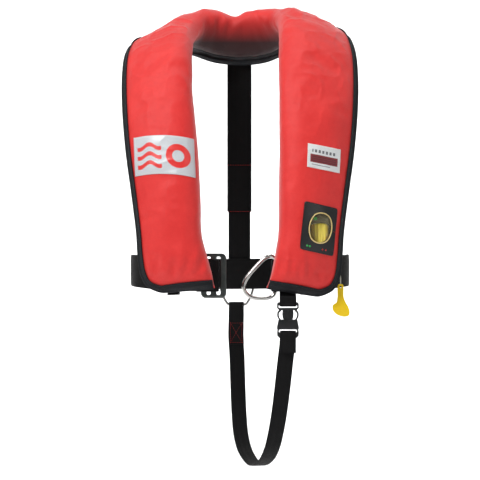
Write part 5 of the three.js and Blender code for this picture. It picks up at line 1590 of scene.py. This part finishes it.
SLOT_OF = {
    "bladder": "bladder_film", "closure_hook_left": "hook_tape", "closure_loop_left": "hook_tape",
    "closure_hook_right": "hook_tape", "closure_loop_right": "hook_tape", "gas_cylinder": "cylinder_paint",
    "inflator_body": "inflator_plastic", "status_indicator": "indicator", "firing_lever": "tab_plastic",
    "inflation_stem": "stem_brass", "manifold_nut": "plated_steel", "cord_eyelet": "plated_steel",
    "oral_flange": "tube_rubber", "oral_tube": "tube_rubber", "oral_valve": "valve_plastic",
    "oral_cap": "cap_plastic", "whistle": "whistle_plastic", "whistle_lanyard": "line",
    "piercing_pin": "plated_steel", "water_bobbin": "bobbin", "firing_spring": "plated_steel",
}
BODIES = {"firing_lever": ["firing_lever"], "piercing_pin": ["piercing_pin"], "oral_cap": ["oral_cap"]}
finish_nodes()

# ---- Stage ----
FLOOR, FLAT_TO, SWEEP = -0.86, 4.8, 1.2


def backdrop():
    """A floor that curves up into a wall behind: flat, then a quarter circle, then upright. In metres."""
    flat = np.linspace(-6.5, FLAT_TO, 20)
    turn = np.linspace(0, math.pi / 2, 20)[1:]
    y = np.concatenate([flat, FLAT_TO + SWEEP * np.sin(turn), np.full(8, FLAT_TO + SWEEP)])
    z = np.concatenate([np.full(20, FLOOR), FLOOR + SWEEP * (1 - np.cos(turn)),
                        FLOOR + SWEEP + np.linspace(0.3, 3.0, 8)])
    x = np.linspace(-5, 5, 21)
    grid = np.stack([np.repeat(x[:, None], len(y), 1), np.repeat(y[None], 21, 0), np.repeat(z[None], 21, 0)], -1)
    f = Finish("Backdrop", roughness=0.9)
    f.set("Base Color", rgb(244, 244, 245))
    mesh = bpy.data.meshes.new("Backdrop")
    mesh.from_pydata(grid.reshape(-1, 3).tolist(), [], cells(21, len(y)).tolist())
    mesh.materials.append(f.material)
    mesh.polygons.foreach_set("use_smooth", np.ones(len(mesh.polygons), bool))
    piece = bpy.data.objects.new("Backdrop", mesh)
    scene.collection.objects.link(piece)


backdrop()


def softbox(name, place, target, wide, tall, watts):
    """A large area light that faces a point. Sizes and places in metres."""
    data = bpy.data.lights.new(name, "AREA")
    data.shape = "RECTANGLE"
    data.size, data.size_y = wide, tall
    data.energy = watts
    lamp = bpy.data.objects.new(name, data)
    scene.collection.objects.link(lamp)
    lamp.location = place
    lamp.rotation_euler = (Vector(target) - Vector(place)).to_track_quat("-Z", "Y").to_euler()


softbox("Key", (-1.7, -2.0, 1.5), (0, 0, -0.3), 1.0, 1.0, 67)
softbox("Fill", (2.2, -2.6, 0.3), (0, 0, -0.35), 1.6, 2.0, 18)
softbox("Top", (0.1, -0.5, 1.9), (0, 0, -0.2), 1.6, 1.0, 20)
softbox("Back", (0.0, 3.4, 3.0), (0, 6.0, 0.0), 5.0, 2.0, 300)
world = bpy.data.worlds.new("World")
world.use_nodes = True
sky = Graph(world.node_tree)
towards = sky.add("ShaderNodeSeparateXYZ", world.node_tree.nodes.new("ShaderNodeTexCoord").outputs["Generated"])
shade = sky.ramp(towards.outputs[1], -0.85, -0.25, 0.03, 0.42)
sky.put(world.node_tree.nodes["Background"].inputs[0], (1, 1, 1, 1))
sky.put(world.node_tree.nodes["Background"].inputs[1], shade)
scene.world = world
scene.view_settings.view_transform = "Standard"
